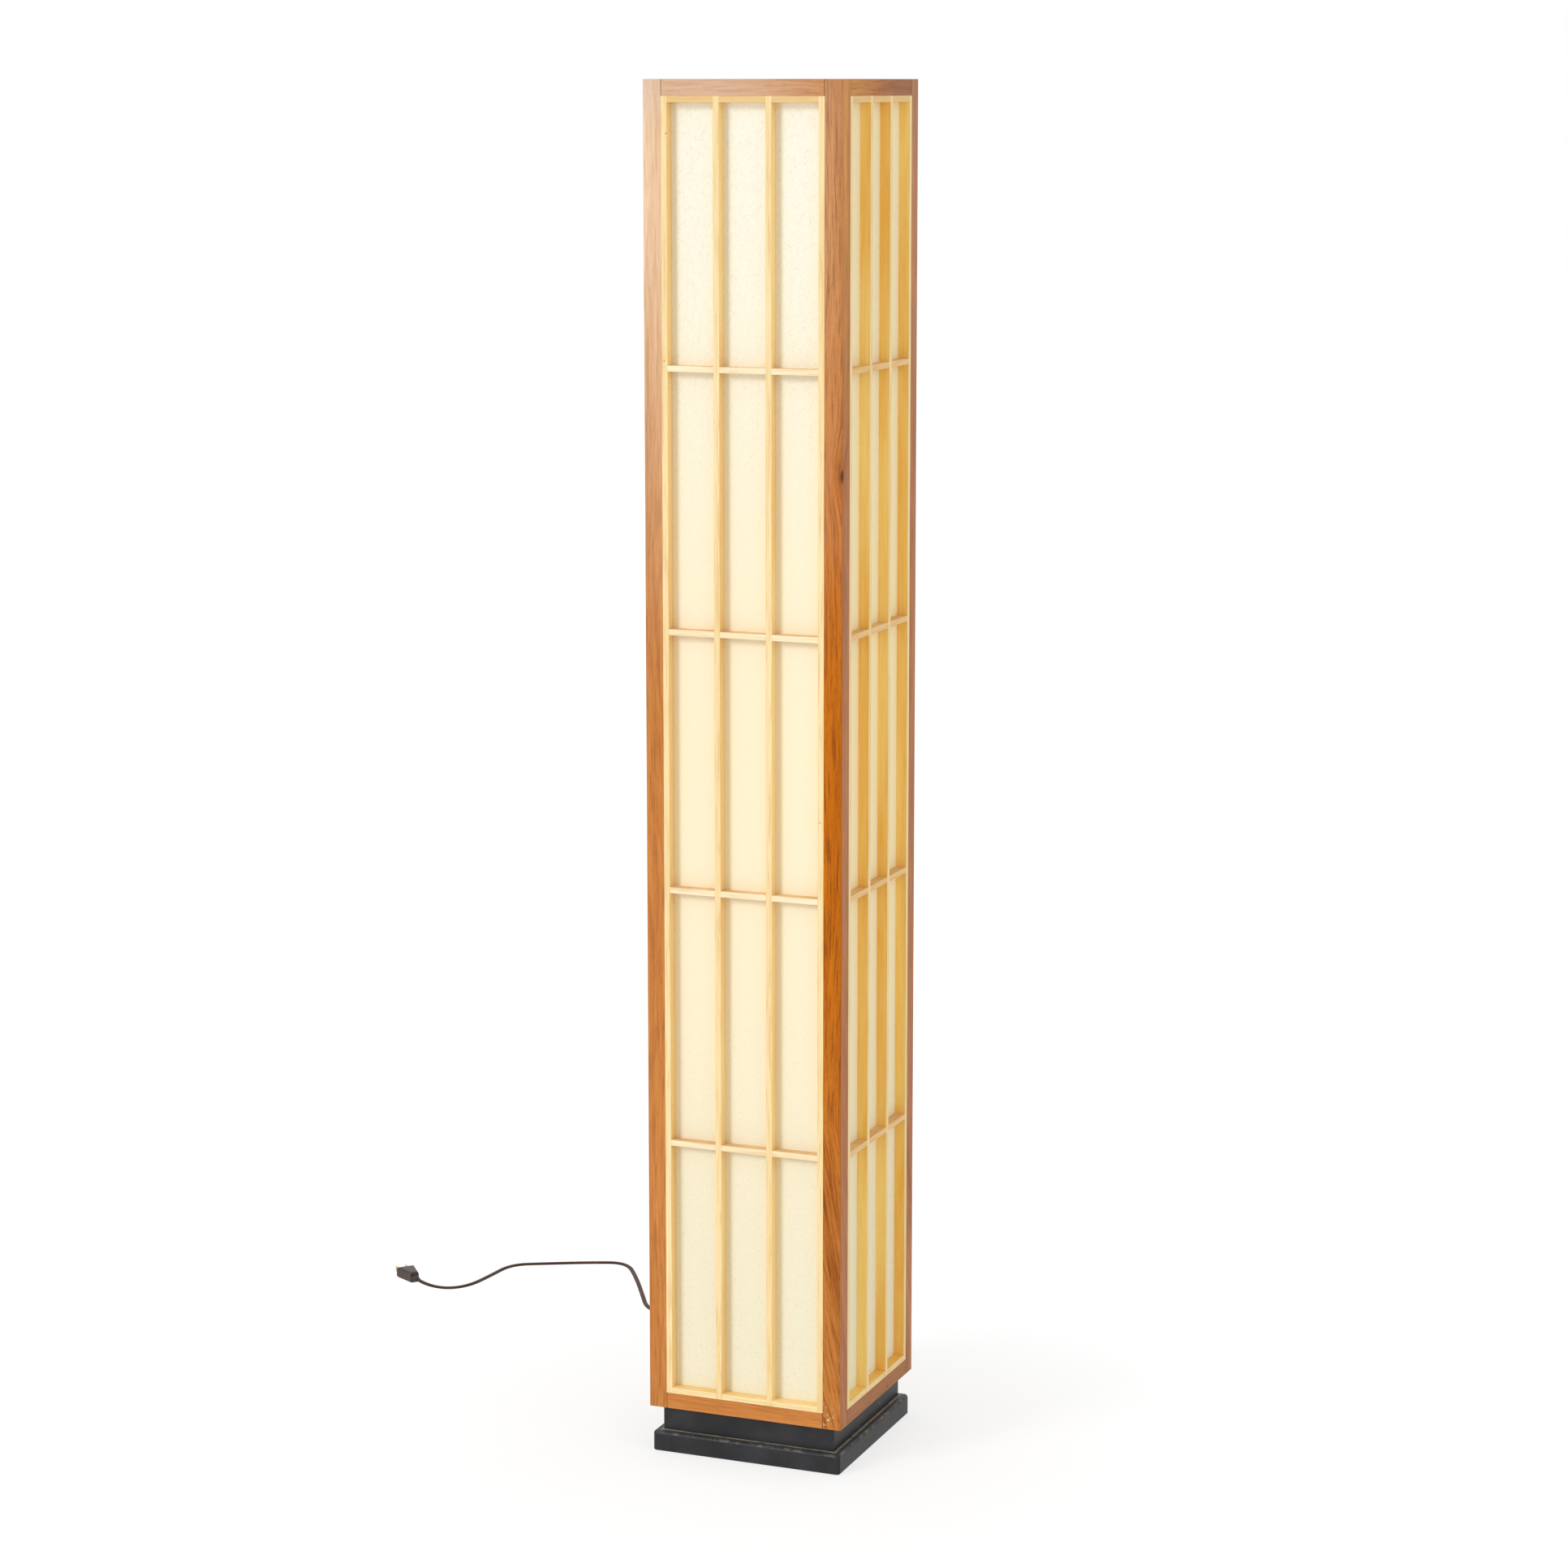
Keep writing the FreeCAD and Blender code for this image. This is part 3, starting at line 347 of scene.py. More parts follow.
def cord_profile():
    """The section of a flat two-core cord: two round lobes side by side with a groove between."""
    data = bpy.data.curves.new("cord_profile", "CURVE")
    data.dimensions = "2D"
    spline = data.splines.new("POLY")
    points = []
    for side in (1, -1):
        for i in range(CORE_STEPS + 1):
            angle = math.radians(-CORE_ARC / 2 + CORE_ARC * i / CORE_STEPS)
            points.append((side * (CORE_OUT + CORE * math.cos(angle)), -side * CORE * math.sin(angle)))
    spline.points.add(len(points) - 1)
    for point, (x, y) in zip(spline.points, points):
        point.co = (x, y, 0, 1)
    spline.use_cyclic_u = True
    profile = put_in_scene("cord_profile", data)
    profile.hide_render = profile.hide_viewport = True
    return profile


def lay_cord(name, route, profile, resolution):
    data = bpy.data.curves.new(name, "CURVE")
    data.dimensions = "3D"
    data.twist_mode = "Z_UP"
    data.resolution_u = resolution
    data.bevel_mode = "OBJECT"
    data.bevel_object = profile
    data.use_fill_caps = True
    spline = data.splines.new("NURBS")
    spline.points.add(len(route) - 1)
    for point, place in zip(spline.points, route):
        point.co = (*place, 1)
    spline.order_u = 3
    spline.use_endpoint_u = True
    spline.resolution_u = resolution
    return put_in_scene(name, data)


def coil_point(turns):
    """Inward on the floor, up a layer during the middle half turn, outward on top."""
    off = turns - COIL_TURNS / 2
    radius = (COIL_INNER + COIL_SPREAD * abs(off)) * MM
    climb = min(max(2 * off + 0.5, 0), 1)
    angle = math.tau * turns + math.pi / 2
    return (COIL_MIDDLE[0] + radius * math.cos(angle), COIL_MIDDLE[1] + radius * math.sin(angle),
            COIL_LOW + COIL_STEP * (1 - math.cos(math.pi * climb)) / 2)


def make_cords():
    paint = Paint("cord_sheath", **{"IOR": 1.45, "Specular IOR Level": 0.25})
    mottle = paint.noise(paint.place, 900.0, 3.0)
    shade = paint.noise(paint.place, 35.0, 2.0)
    base = paint.blend(shade.rise(0.35, 0.7), ink(58, 34, 25), ink(84, 52, 40))
    sheath = paint.done(base, height=mottle, depth=0.00004, Roughness=0.44 + 0.14 * shade)
    profile = cord_profile()
    turns = [coil_point(i / COIL_POINTS) for i in range(COIL_TURNS * COIL_POINTS + 1)]
    lead = lay_cord("flat_cord_lead", LEAD_ROUTE, profile, 10)
    run = lay_cord("flat_cord", LINK_ROUTE + turns + RUN_ROUTE, profile, 8)
    for piece, nodes in ((lead, ["cord_lead"]), (run, ["cord_link", "cord_coil", "cord_run"])):
        piece.data.materials.append(sheath)
        finish_piece(piece, "stand", nodes)
    return lead, run


lead, run = make_cords()


# Wood

UP = 2  # the upright axis
KNOT = (HALF, -HALF, 1.105)  # on the near arris
KNOT_LENGTH = 2.5  # times its width
PEG, PEG_SIZE = (HALF, 0.032, TOWER_LOW + 0.0065), 0.0032
RUBBED, RUBBED_SIZE = (HALF - 0.007, -HALF, TOWER_LOW + 0.016), 0.019
LATTICE_SPOTS, SPOT_SIZE = ((-0.0875, 1.463), (-0.0905, 1.222), (0.0890, 0.731)), 0.0014


def grain_of(paint, axis, broad=42.0, wander=0.35):
    """Streaks along an axis: broad bands, fine lines and short pores, each about 0 to 1."""
    bands = paint.noise(paint.stretched(axis, 0.05), broad, 4.0, 0.55, wander)
    lines = paint.noise(paint.stretched(axis, 0.045), 430.0, 3.0, 0.6, 0.2)
    pores = paint.noise(paint.stretched(axis, 0.07), 1500.0, 1.0, 0.5)
    return bands, lines, pores


def grain_drift(paint, axis, aside):
    """What pushes the grain off its line; on an upright, the knot's mask too."""
    wave = paint.noise(paint.stretched(axis, 0.3), 7.0, 1.0, out="Color")
    drift = paint.vector("MULTIPLY", paint.vector("SUBTRACT", wave, (0.5, 0.5, 0.5)), (0.03, 0.03, 0.03))
    if axis != UP:
        return drift, None
    # the grain leans near the foot, and flows round the knot
    middle = (KNOT[0], KNOT[1], KNOT[2] / KNOT_LENGTH)
    away = paint.vector("DISTANCE", paint.stretched(UP, 1 / KNOT_LENGTH), middle, out="Value")
    swirl = away.rise(0.026, 0.0) * 0.012
    across = paint.z.least(0.40) * 0.20 * paint.x.rise(-0.05, 0.05) + swirl
    drift = paint.vector("ADD", drift, paint.joined(across * (1 - aside), across * aside, 0.0))
    return drift, away.rise(0.0042, 0.0012)


def walnut(paint, axis, aside, tone, grain):
    """The oiled wood's colour: more orange halfway up; duller and mauve on the sides that look along X, a
    painted reflection of the pale studio, darker on the rails there, painted shade.
    """
    bands, lines, pores = grain
    deep = paint.z.rise(0.10, 0.62) * paint.z.rise(1.36, 0.95) * (0.35 + 0.65 * paint.x.rise(-0.10, 0.09))
    base = paint.blend(tone, ink(154, 84, 28), ink(212, 138, 66))
    base = paint.blend(deep * 0.95, base, paint.blend(tone, ink(152, 70, 0), ink(214, 119, 0)))
    base = paint.blend(bands.rise(0.56, 0.72) * 0.35, base, ink(158, 84, 26))
    base = paint.blend(pores.rise(0.60, 0.70) * 0.35, base, ink(98, 54, 22))
    base = paint.blend(lines.rise(0.47, 0.34) * (0.45 if axis == UP else 0.25), base, ink(118, 62, 20))
    if axis == UP:
        left = paint.blend(tone, ink(196, 122, 62), ink(226, 156, 90))
        base = paint.blend(0.50 * paint.x.rise(0.05, -0.09), base, left)
    else:
        base = paint.blend(0.40 * paint.z.rise(0.5, 0.3), base, ink(228, 152, 84))
    # painted reflection: the sides that look along X are duller and mauve, as the pale studio shows in them; the
    # rails on those walls are darker still, painted shade
    painted_side_sheen = paint.blend(tone, ink(154, 98, 62), ink(200, 142, 104))
    if axis == 1:
        painted_side_sheen = paint.blend(0.5, painted_side_sheen, ink(128, 84, 58))
    base = paint.blend(aside * 0.75 * paint.z.rise(1.42, 0.95).most(paint.y.rise(-0.05, 0.08)), base, painted_side_sheen)
    # warmer near the top at the front, over the painted reflection
    warm = aside * paint.z.rise(1.05, 1.40) * paint.y.rise(0.02, -0.08)
    return paint.blend(warm * 0.45, base, paint.blend(tone, ink(206, 134, 58), ink(248, 180, 92)))


def paler_upper_left(paint, axis, aside, tone, base):
    """Paler towards the upper left, with pale flecks at the top."""
    patchy = paint.noise(paint.stretched(axis, 0.25), 22.0, 3.0) * 0.5 - 0.25
    side = (0.5 - paint.x * 4.4) + patchy * 0.5
    paleness = (paint.z + 0.25 * patchy).rise(0.80, 1.60) * side.rise(-0.35, 0.85) * (1.0 if axis == UP else 0.66)
    pale = paint.blend(tone, ink(216, 172, 130), ink(252, 220, 186))
    pale = paint.blend(paint.z.rise(1.44, 1.52) * patchy.rise(-0.1, 0.1) * 0.5, pale, ink(214, 190, 174))
    base = paint.blend(paleness * (1 - 0.6 * aside) * 1.1, base, pale)
    flecks = paint.noise(paint.stretched(axis, 0.4), 700.0, 1.0).rise(0.69, 0.73)
    flecks = flecks * (paint.z + 0.1 * patchy).rise(1.38, 1.47) * side.rise(0.55, 0.9)
    return paint.blend(flecks * 0.5, base, ink(246, 226, 204))


def frame_wood(name, axis):
    """Oiled walnut with its grain along an axis, paler at the upper left, worn at its edges, darker in its
    joints.
    """
    paint = Paint(name, edge=0.0009, **{"IOR": 1.4, "Specular IOR Level": 0.15})
    aside = abs(paint.facing((1, 0, 0))).rise(0.5, 0.95)
    drift, knot = grain_drift(paint, axis, aside)
    paint.place = paint.vector("ADD", paint.place, drift)
    bands, lines, pores = grain_of(paint, axis, wander=0.15)
    tone = (0.5 * bands + 0.5 * lines).rise(0.28, 0.72)
    base = walnut(paint, axis, aside, tone, (bands, lines, pores))
    base = paler_upper_left(paint, axis, aside, tone, base)
    worn = paint.worn()
    scuffed = paint.noise(paint.place, 60.0, 3.0).rise(0.42, 0.62)
    base = paint.blend(worn * scuffed * 0.45, base, ink(230, 180, 126))
    if axis == UP:
        seam = abs(paint.facing((0, 0, 1))).rise(0.6, 0.9) * 0.55
        base = paint.blend(knot * 0.8, base, ink(70, 36, 20))
        rubbed = paint.noise(paint.stretched(UP, 0.5), 620.0, 1.0).rise(0.64, 0.70)
        base = paint.blend(paint.spot(RUBBED, RUBBED_SIZE) * rubbed * 0.7, base, ink(240, 220, 198))
    else:
        seam = abs((paint.x, paint.y)[axis]).rise(INNER - 0.0012, INNER - 0.0002)
        base = paint.blend(paint.spot(PEG, PEG_SIZE) * 0.6, base, ink(96, 62, 48))
    base = paint.blend(seam * 0.8, base, ink(70, 38, 22))
    height = lines * 0.5 - pores.rise(0.60, 0.70) * 0.6 + bands * 0.3
    return paint.done(base, height, 0.00012, Roughness=0.42 + 0.20 * lines - 0.05 * worn)


def lattice_wood(name, outward, kind):
    """Pale planed softwood, yellower and deeper on the faces that look along the wall, painted shade, and deeper
    still on the walls that look along X.
    """
    paint = Paint(name, edge=0.0004, IOR=1.45)
    level = 1 - outward  # the axis that runs level along this wall
    upright, lying = grain_of(paint, UP, 60.0, 0.1), grain_of(paint, level, 60.0, 0.1)
    if kind == "frame":
        # its two rails lie between its two stiles
        middle, half_height = (OPEN_LOW + OPEN_TOP) / 2, (OPEN_TOP - OPEN_LOW) / 2
        ends = abs(paint.z - middle).rise(half_height - BAR_FACE - 0.0001, half_height - BAR_FACE)
        inside = abs((paint.x, paint.y)[level]).rise(INNER - BAR_FACE, INNER - BAR_FACE - 0.0001)
        rails = ends * inside
        bands, lines, pores = (rails * l + (1 - rails) * u for u, l in zip(upright, lying))
    else:
        bands, lines, pores = upright if kind == "uprights" else lying
    tone = (0.5 * bands + 0.5 * lines).rise(0.30, 0.70)
    base = paint.blend(tone, ink(242, 208, 144), ink(253, 230, 176))
    if kind == "crossbars":
        # the crossbars are paler on the walls that look along Y and deeper on those that look along X: the
        # difference between the walls is painted shade
        if outward:
            dark, light = ink(247, 224, 178), ink(255, 245, 214)
        else:
            dark, light = ink(232, 182, 112), ink(246, 206, 142)
        base = paint.blend(0.85, base, paint.blend(tone, dark, light))
    if kind == "frame":
        base = paint.blend(rails * paint.z.rise(0.8, 1.2) * 0.6, base, ink(226, 180, 112))
    base = paint.blend(lines.rise(0.46, 0.36) * 0.30, base, ink(222, 174, 104))
    # the faces that look along the wall take deeper colours, painted shade; on the walls that look along X they
    # are deeper still
    if kind == "crossbars":
        dark, light = ink(214, 166, 106), ink(234, 192, 136)
    elif outward:
        dark, light = ink(242, 198, 124), ink(254, 224, 156)
    else:
        dark, light = ink(240, 176, 38), ink(255, 220, 122)
    aside = 1 - abs(paint.facing(((1, 0, 0), (0, 1, 0))[outward]))
    each = paint.noise(paint.joined(paint.x, paint.y, paint.z * 0.12), 24.0, 1.0).rise(0.42, 0.58)
    base = paint.blend(aside.rise(0.3, 0.8) * 0.8, base, paint.blend(tone * 0.4 + each * 0.6, dark, light))
    if outward and kind == "frame":
        for x, z in LATTICE_SPOTS:
            base = paint.blend(paint.spot((x, -HALF + 0.0006, z), SPOT_SIZE) * 0.6, base, ink(150, 100, 50))
    base = paint.blend(paint.worn(0.02, 0.25) * 0.25, base, ink(204, 150, 84))
    return paint.done(base, lines * 0.6 - pores.rise(0.62, 0.72) * 0.4, 0.00006, Roughness=0.62)


# Paper

PAPER_THICK = 0.00025
# lean, scale, share of the height
CREASES = ((0.45, 560.0, 0.60), (0.22, 860.0, 0.40), (0.75, 330.0, 0.30))
# scale, width, darkness, seed
FIBRES = ((75.0, 0.010, 0.22, 0.3), (140.0, 0.013, 0.18, 1.7), (48.0, 0.005, 0.30, 2.9))


def paper_material(outward):
    """Handmade paper: crinkled, with long wandering fibres and small specks; duller and greener low down."""
    paint = Paint("washi_" + "xy"[outward], IOR=1.4)
    level = (paint.y, paint.x)[outward]
    flat = paint.joined(level, paint.z, 0.0)
    cloud = paint.noise(flat, 75.0, 4.0, 0.65)
    low = paint.z.rise(0.80, 0.10)
    # brighter towards the top: painted light
    base = paint.blend(paint.z.rise(0.82, 1.5), ink(255, 243, 211), ink(255, 253, 238))
    # on the walls that look along X the paper is yellower and a little darker: painted shade
    if not outward:
        base = paint.blend(0.75, base, ink(255, 240, 188))
    base = paint.blend(low * 0.85, base, ink(241, 237, 212))
    if outward:
        # painted shadow beside the bars, on the side away from the light
        pitch = grid_pitch()[0]
        off = (level / pitch + 0.5).math("FRACT") * pitch - BAR_FACE / 2
        base = paint.blend(off.rise(0.0085, 0.0045) * 0.42, base, ink(224, 196, 128))
    height = cloud * 0.3
    for lean, scale, share in CREASES:
        # short creases: noise drawn out along a slant, folded into ridges
        slanted = paint.joined(level - lean * paint.z, 0.26 * (paint.z + lean * level), lean)
        height = height + share * (1 - abs(paint.noise(slanted, scale, 1.0, 0.5, 0.4) * 2 - 1)) ** 2.0
    crisp = 0.35 + 0.65 * paint.z.rise(0.85, 1.30)
    # darker in the creases' hollows: partly the thinner paper there, partly painted shade
    crease_shade = height.rise(1.05, 0.62) * (0.20 + 0.26 * cloud.rise(0.35, 0.65)) * crisp
    base = paint.blend(crease_shade, base, ink(234, 215, 168))
    warp = paint.vector("MULTIPLY", paint.noise(flat, 40.0, 2.0, out="Color"), (0.012, 0.012, 0.0))
    for scale, width, dark, seed in FIBRES:
        shifted = paint.vector("ADD", paint.vector("ADD", warp, flat), (seed, seed * 2, seed * 3))
        strand = abs(paint.noise(shifted, scale, 0.0) - 0.5).rise(width, width * 0.35)
        fibre = strand * paint.noise(shifted, scale * 0.9, 1.0).rise(0.53, 0.60)
        base = paint.blend(fibre * (dark * (0.06 + 0.34 * low)), base, ink(190, 170, 118))
        height = height + fibre * 0.2
    hairs = paint.noise(slanted, 900.0, 1.0).rise(0.62, 0.70)
    base = paint.blend(hairs * (0.01 + 0.26 * low), base, ink(170, 160, 116))
    specks = paint.node("ShaderNodeTexVoronoi", {}, {"Vector": flat, "Scale": 300.0}).rise(0.12, 0.05)
    sparse = (paint.noise(flat, 190.0, 0.0) + 0.04 * low).rise(0.66, 0.72)
    base = paint.blend(specks * sparse * (0.25 + 0.25 * low), base, ink(140, 124, 84))
    return paint.done(base, height * crisp, 0.0005, 0.9, Roughness=0.88)


def paper_builder():
    """A sheet in the ground plane, pulled in by its crinkles between the bars it is glued to."""
    tree = Builder("glued_paper", {
        "Width": ("Float", 0.177), "Length": ("Float", 1.42), "Column": ("Float", 0.06),
        "Row": ("Float", 0.285), "Depth": ("Float", 0.0005), "Seed": ("Float", 0.0), "Across": ("Int", 50),
        "Along": ("Int", 380)})
    given = tree.given
    grid = tree.grid(*(given[label] for label in ("Width", "Length", "Across", "Along")))
    x, y, _ = tree.split(tree.node("GeometryNodeInputPosition"))
    loose = 1.0
    for along, pitch, bar in ((x, given["Column"], BAR_FACE), (y, given["Row"], CROSSBAR_FACE)):
        # bars lie half a cell either side of each cell's middle
        share = (along / pitch + 0.5).math("FRACT") - 0.5
        off = (0.5 - abs(share)) * pitch - bar / 2
        loose = loose * off.rise(0.0, 0.010)
    slanted = tree.joined(x + y * 0.45, y * 0.55 - x * 0.3, given["Seed"])
    ridges = 1 - abs(tree.noise(slanted, 95.0, 2.0, 0.5, 0.6) * 2 - 1)
    swells = tree.noise(slanted, 26.0, 1.0)
    dip = (ridges ** 3.0 * 0.5 + swells * 0.5) * loose * given["Depth"]
    offset = tree.joined(0.0, 0.0, 0.0 - dip)
    return tree.close(tree.node("GeometryNodeSetPosition", {}, {"Geometry": grid, "Offset": offset}))


def make_papers():
    builder = paper_builder()
    materials = [paper_material(0), paper_material(1)]
    for quarters, side in enumerate(SIDES):
        low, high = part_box(side + "_paper")
        outward = (quarters + 1) % 2
        level = 1 - outward
        column, row = grid_pitch(DOOR_PLAY if side == "door" else 0)
        piece = builder.build(side + "_washi", Width=high[level] - low[level], Length=high.z - low.z,
                              Column=column, Row=row, Seed=quarters * 3.7, Material=materials[outward])
        # the sheet's top is glued to the back of the lattice; it is stood up and turned to its side
        stand = Matrix.Rotation(math.radians(90), 4, "X")
        out = Matrix.Translation((0, -BACK_OF_LATTICE, (low.z + high.z) / 2))
        piece.data.transform(quarter_turns(quarters) @ out @ stand)
        shape = bmesh.new()
        shape.from_mesh(piece.data)
        wall = bmesh.ops.extrude_face_region(shape, geom=list(shape.faces), use_keep_orig=True)
        inward = quarter_turns(quarters) @ Vector((0, 1, 0))
        moved = [v for v in wall["geom"] if isinstance(v, bmesh.types.BMVert)]
        bmesh.ops.translate(shape, verts=moved, vec=inward * PAPER_THICK)
        bmesh.ops.recalc_face_normals(shape, faces=shape.faces)
        for face in shape.faces:
            face.smooth = True
        shape.to_mesh(piece.data)
        shape.free()
        finish_piece(piece, "door" if side == "door" else "stand", [side + "_paper"])


make_papers()


# Paint, metals, ceramics, plastics

def black_paint():
    """Satin black paint on wood: faint grain, dust on what faces up, rubbed edges, a few chips; painted shade on
    the faces that look along X and a painted highlight along the rounded shoulder.
    """
    paint = Paint("satin_black", edge=0.0012, **{"IOR": 1.45, "Specular IOR Level": 0.35})
    lines = paint.noise(paint.stretched(0, 0.1), 240.0, 3.0, 0.6)
    cloud = paint.noise(paint.place, 18.0, 4.0, 0.6)
    streak = paint.noise(paint.place, 110.0, 4.0, 0.7)
    base = paint.blend(cloud.rise(0.35, 0.7), ink(32, 32, 35), ink(49, 49, 52))
    # the faces that look along X are darker: painted shade
    aside = abs(paint.facing((1, 0, 0))).rise(0.5, 0.95)
    base = paint.blend(aside * 0.8, base, ink(15, 11, 10))
    upward = paint.facing((0, 0, 1))
    near_neck = abs(paint.x).most(abs(paint.y)).rise(NECK_HALF + 0.0046, NECK_HALF + 0.0018)
    dust = upward.rise(0.75, 0.98) * (0.10 + near_neck * 0.85) * streak.rise(0.20, 0.55)
    base = paint.blend(dust, base, ink(168, 162, 146))
    # a painted highlight in streaks along the rounded shoulder
    shoulder_highlight = upward.rise(0.15, 0.55) * upward.rise(0.97, 0.75)
    base = paint.blend(shoulder_highlight * streak.rise(0.46, 0.66) * 0.42, base, ink(150, 146, 136))
    worn = paint.worn(0.01, 0.16)
    base = paint.blend(worn * streak.rise(0.46, 0.62) * 0.35, base, ink(140, 132, 118))
    spots = paint.node("ShaderNodeTexVoronoi", {}, {"Vector": paint.place, "Scale": 52.0})
    chips = (spots + 0.09 * paint.noise(paint.place, 700.0, 1.0)).rise(0.115, 0.095)
    base = paint.blend(chips * paint.noise(paint.place, 21.0, 0.0).rise(0.58, 0.62), base, ink(214, 206, 194))
    rough = 0.34 + 0.18 * cloud + dust * 0.4
    return paint.done(base, lines * 0.5 + cloud * 0.3 + streak * 0.3 - chips * 0.5, 0.00012, Roughness=rough)


def plain_wood(name):
    """Plain board, unfinished."""
    paint = Paint(name, edge=0.0006)
    bands, lines, _ = grain_of(paint, 0, 30.0, 0.5)
    base = paint.blend(bands.rise(0.35, 0.65), ink(188, 152, 108), ink(216, 184, 138))
    base = paint.blend(lines.rise(0.5, 0.36) * 0.5, base, ink(160, 118, 74))
    return paint.done(base, lines, 0.0001, Roughness=0.7)


def metal(name, dark, light, rough):
    """Sheet or turned metal, a little tarnished in clouds."""
    paint = Paint(name, edge=0.00025, Metallic=1.0)
    cloud = paint.noise(paint.place, 120.0, 4.0, 0.65)
    grit = paint.noise(paint.place, 2600.0, 2.0)
    base = paint.blend(cloud.rise(0.35, 0.65) * 0.7, light, dark)
    return paint.done(base, grit, 0.00001, Roughness=rough + 0.18 * cloud + 0.06 * grit)


def plastic(name, dark, light, rough, parting=None):
    """Moulded plastic, with the hairline where its two halves meet at a height, if it has one."""
    paint = Paint(name, edge=0.0006, IOR=1.49)
    cloud = paint.noise(paint.place, 70.0, 3.0)
    grit = paint.noise(paint.place, 2600.0, 2.0)
    base = paint.blend(cloud.rise(0.3, 0.7), dark, light)
    if parting:
        line = abs(paint.z - parting).rise(0.00022, 0.00008)
        base, grit = paint.blend(line * 0.6, base, ink(14, 9, 7)), grit - 6 * line
    return paint.done(base, grit, 0.00002, Roughness=rough + 0.12 * cloud)


def porcelain(name):
    """Glazed white ware with a few dark pits."""
    paint = Paint(name, edge=0.0007, IOR=1.52)
    cloud = paint.noise(paint.place, 45.0, 3.0)
    pits = paint.noise(paint.place, 900.0, 1.0).rise(0.74, 0.78)
    base = paint.blend(cloud.rise(0.3, 0.7), ink(232, 230, 222), ink(242, 240, 234))
    base = paint.blend(pits * 0.5, base, ink(150, 140, 124))
    return paint.done(base, cloud - pits * 0.3, 0.0001, Roughness=0.14 + 0.08 * cloud)


def opal_glass(name):
    """The white glass of a bulb that is off."""
    paint = Paint(name, **{"IOR": 1.5, "Coat Weight": 0.6, "Coat Roughness": 0.04})
    cloud = paint.noise(paint.place, 30.0, 2.0)
    base = paint.blend(cloud.rise(0.3, 0.7), ink(240, 238, 230), ink(248, 247, 242))
    return paint.done(base, cloud, 0.00005, Roughness=0.22 + 0.06 * cloud)


BRASS = metal("satin_brass", ink(150, 104, 48), ink(214, 172, 96), 0.24)
STEEL = metal("zinc_steel", ink(138, 138, 140), ink(190, 190, 192), 0.28)
MOULDING = plastic("moulded_brown", ink(44, 29, 22), ink(62, 42, 33), 0.36, parting=0.0074)


def dress_cad():
    """Gives every CAD node that shows its finish."""
    posts = frame_wood("frame_upright", UP)
    rails = [frame_wood("frame_rail_x", 0), frame_wood("frame_rail_y", 1)]
    finishes = {f"post_{depth}_{side}": posts for depth in ("front", "back") for side in ("left", "right")}
    for level in ("top", "bottom"):
        for i, side in enumerate(("front", "right", "back", "left")):
            finishes[f"{level}_rail_{side}"] = rails[i % 2]
    for outward, sides in ((1, ("front", "door")), (0, ("right", "left"))):
        for kind in ("frame", "uprights", "crossbars"):
            wood = lattice_wood(f"lattice_{kind}_" + "xy"[outward], outward, kind)
            for side in sides:
                finishes[f"{side}_lattice_{kind}"] = wood
            if outward and kind == "uprights":
                finishes["door_stop_strips"] = wood
    black = black_paint()
    finishes |= {
        "base_slab": black, "neck_boards": black, "bottom_board": plain_wood("plain_board"),
        "frame_hinge_leaves": BRASS, "door_hinge_leaves": BRASS, "hinge_pins": BRASS,
        "holder_arms": STEEL, "door_strike": STEEL,
        "catch_magnet": plastic("dark_ferrite", ink(38, 38, 40), ink(56, 56, 58), 0.5),
        "lamp_holders": porcelain("glazed_porcelain"),
        "holder_shells": metal("pressed_brass", ink(184, 138, 70), ink(226, 188, 116), 0.2),
        "holder_wires": plastic("wire_sleeve", ink(205, 200, 188), ink(222, 218, 206), 0.45),
        "cord_bushing": MOULDING, "switch_case": MOULDING, "plug_body": MOULDING,
        "switch_rocker": plastic("rocker_gloss", ink(26, 18, 15), ink(34, 24, 20), 0.12),
        "plug_blades": metal("blade_brass", ink(196, 160, 90), ink(226, 196, 132), 0.2),
    }
    opal = opal_glass("opal_glass")
    for level in ("lower", "upper"):
        finishes[level + "_bulb_glass"] = opal
    for name, finish in finishes.items():
        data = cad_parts[name].data
        data.materials.clear()
        data.materials.append(finish)


dress_cad()


# Screws, caps, reliefs, the coil's tie

HINGE_LOWS = (0.1802, 0.77125, 1.3623)
HINGE_SCREW_UPS = (0.007, 0.023)  # over the foot of its hinge
HINGE_SCREW_Y = 0.110
LEAVES = (("frame", 0.09325, 1, "stand"), ("door", 0.09295, -1, "door"))  # its x, its screws' way, its body
ARM_TOPS = (0.362, 0.932)
ARM_SCREW_START, ARM_SCREW_LINE = -0.0919, -0.0974  # on the inner faces of the post, along its two ways
ARM_SCREW_DOWNS, ARM_SCREW_STEP = (0.007, 0.012), 0.011
PLINTH_SCREW_OUT, PLINTH_SCREW_ASIDE = 0.097875, 0.045
CAP_UP = 0.0145  # a cap's foot over the top of its arm


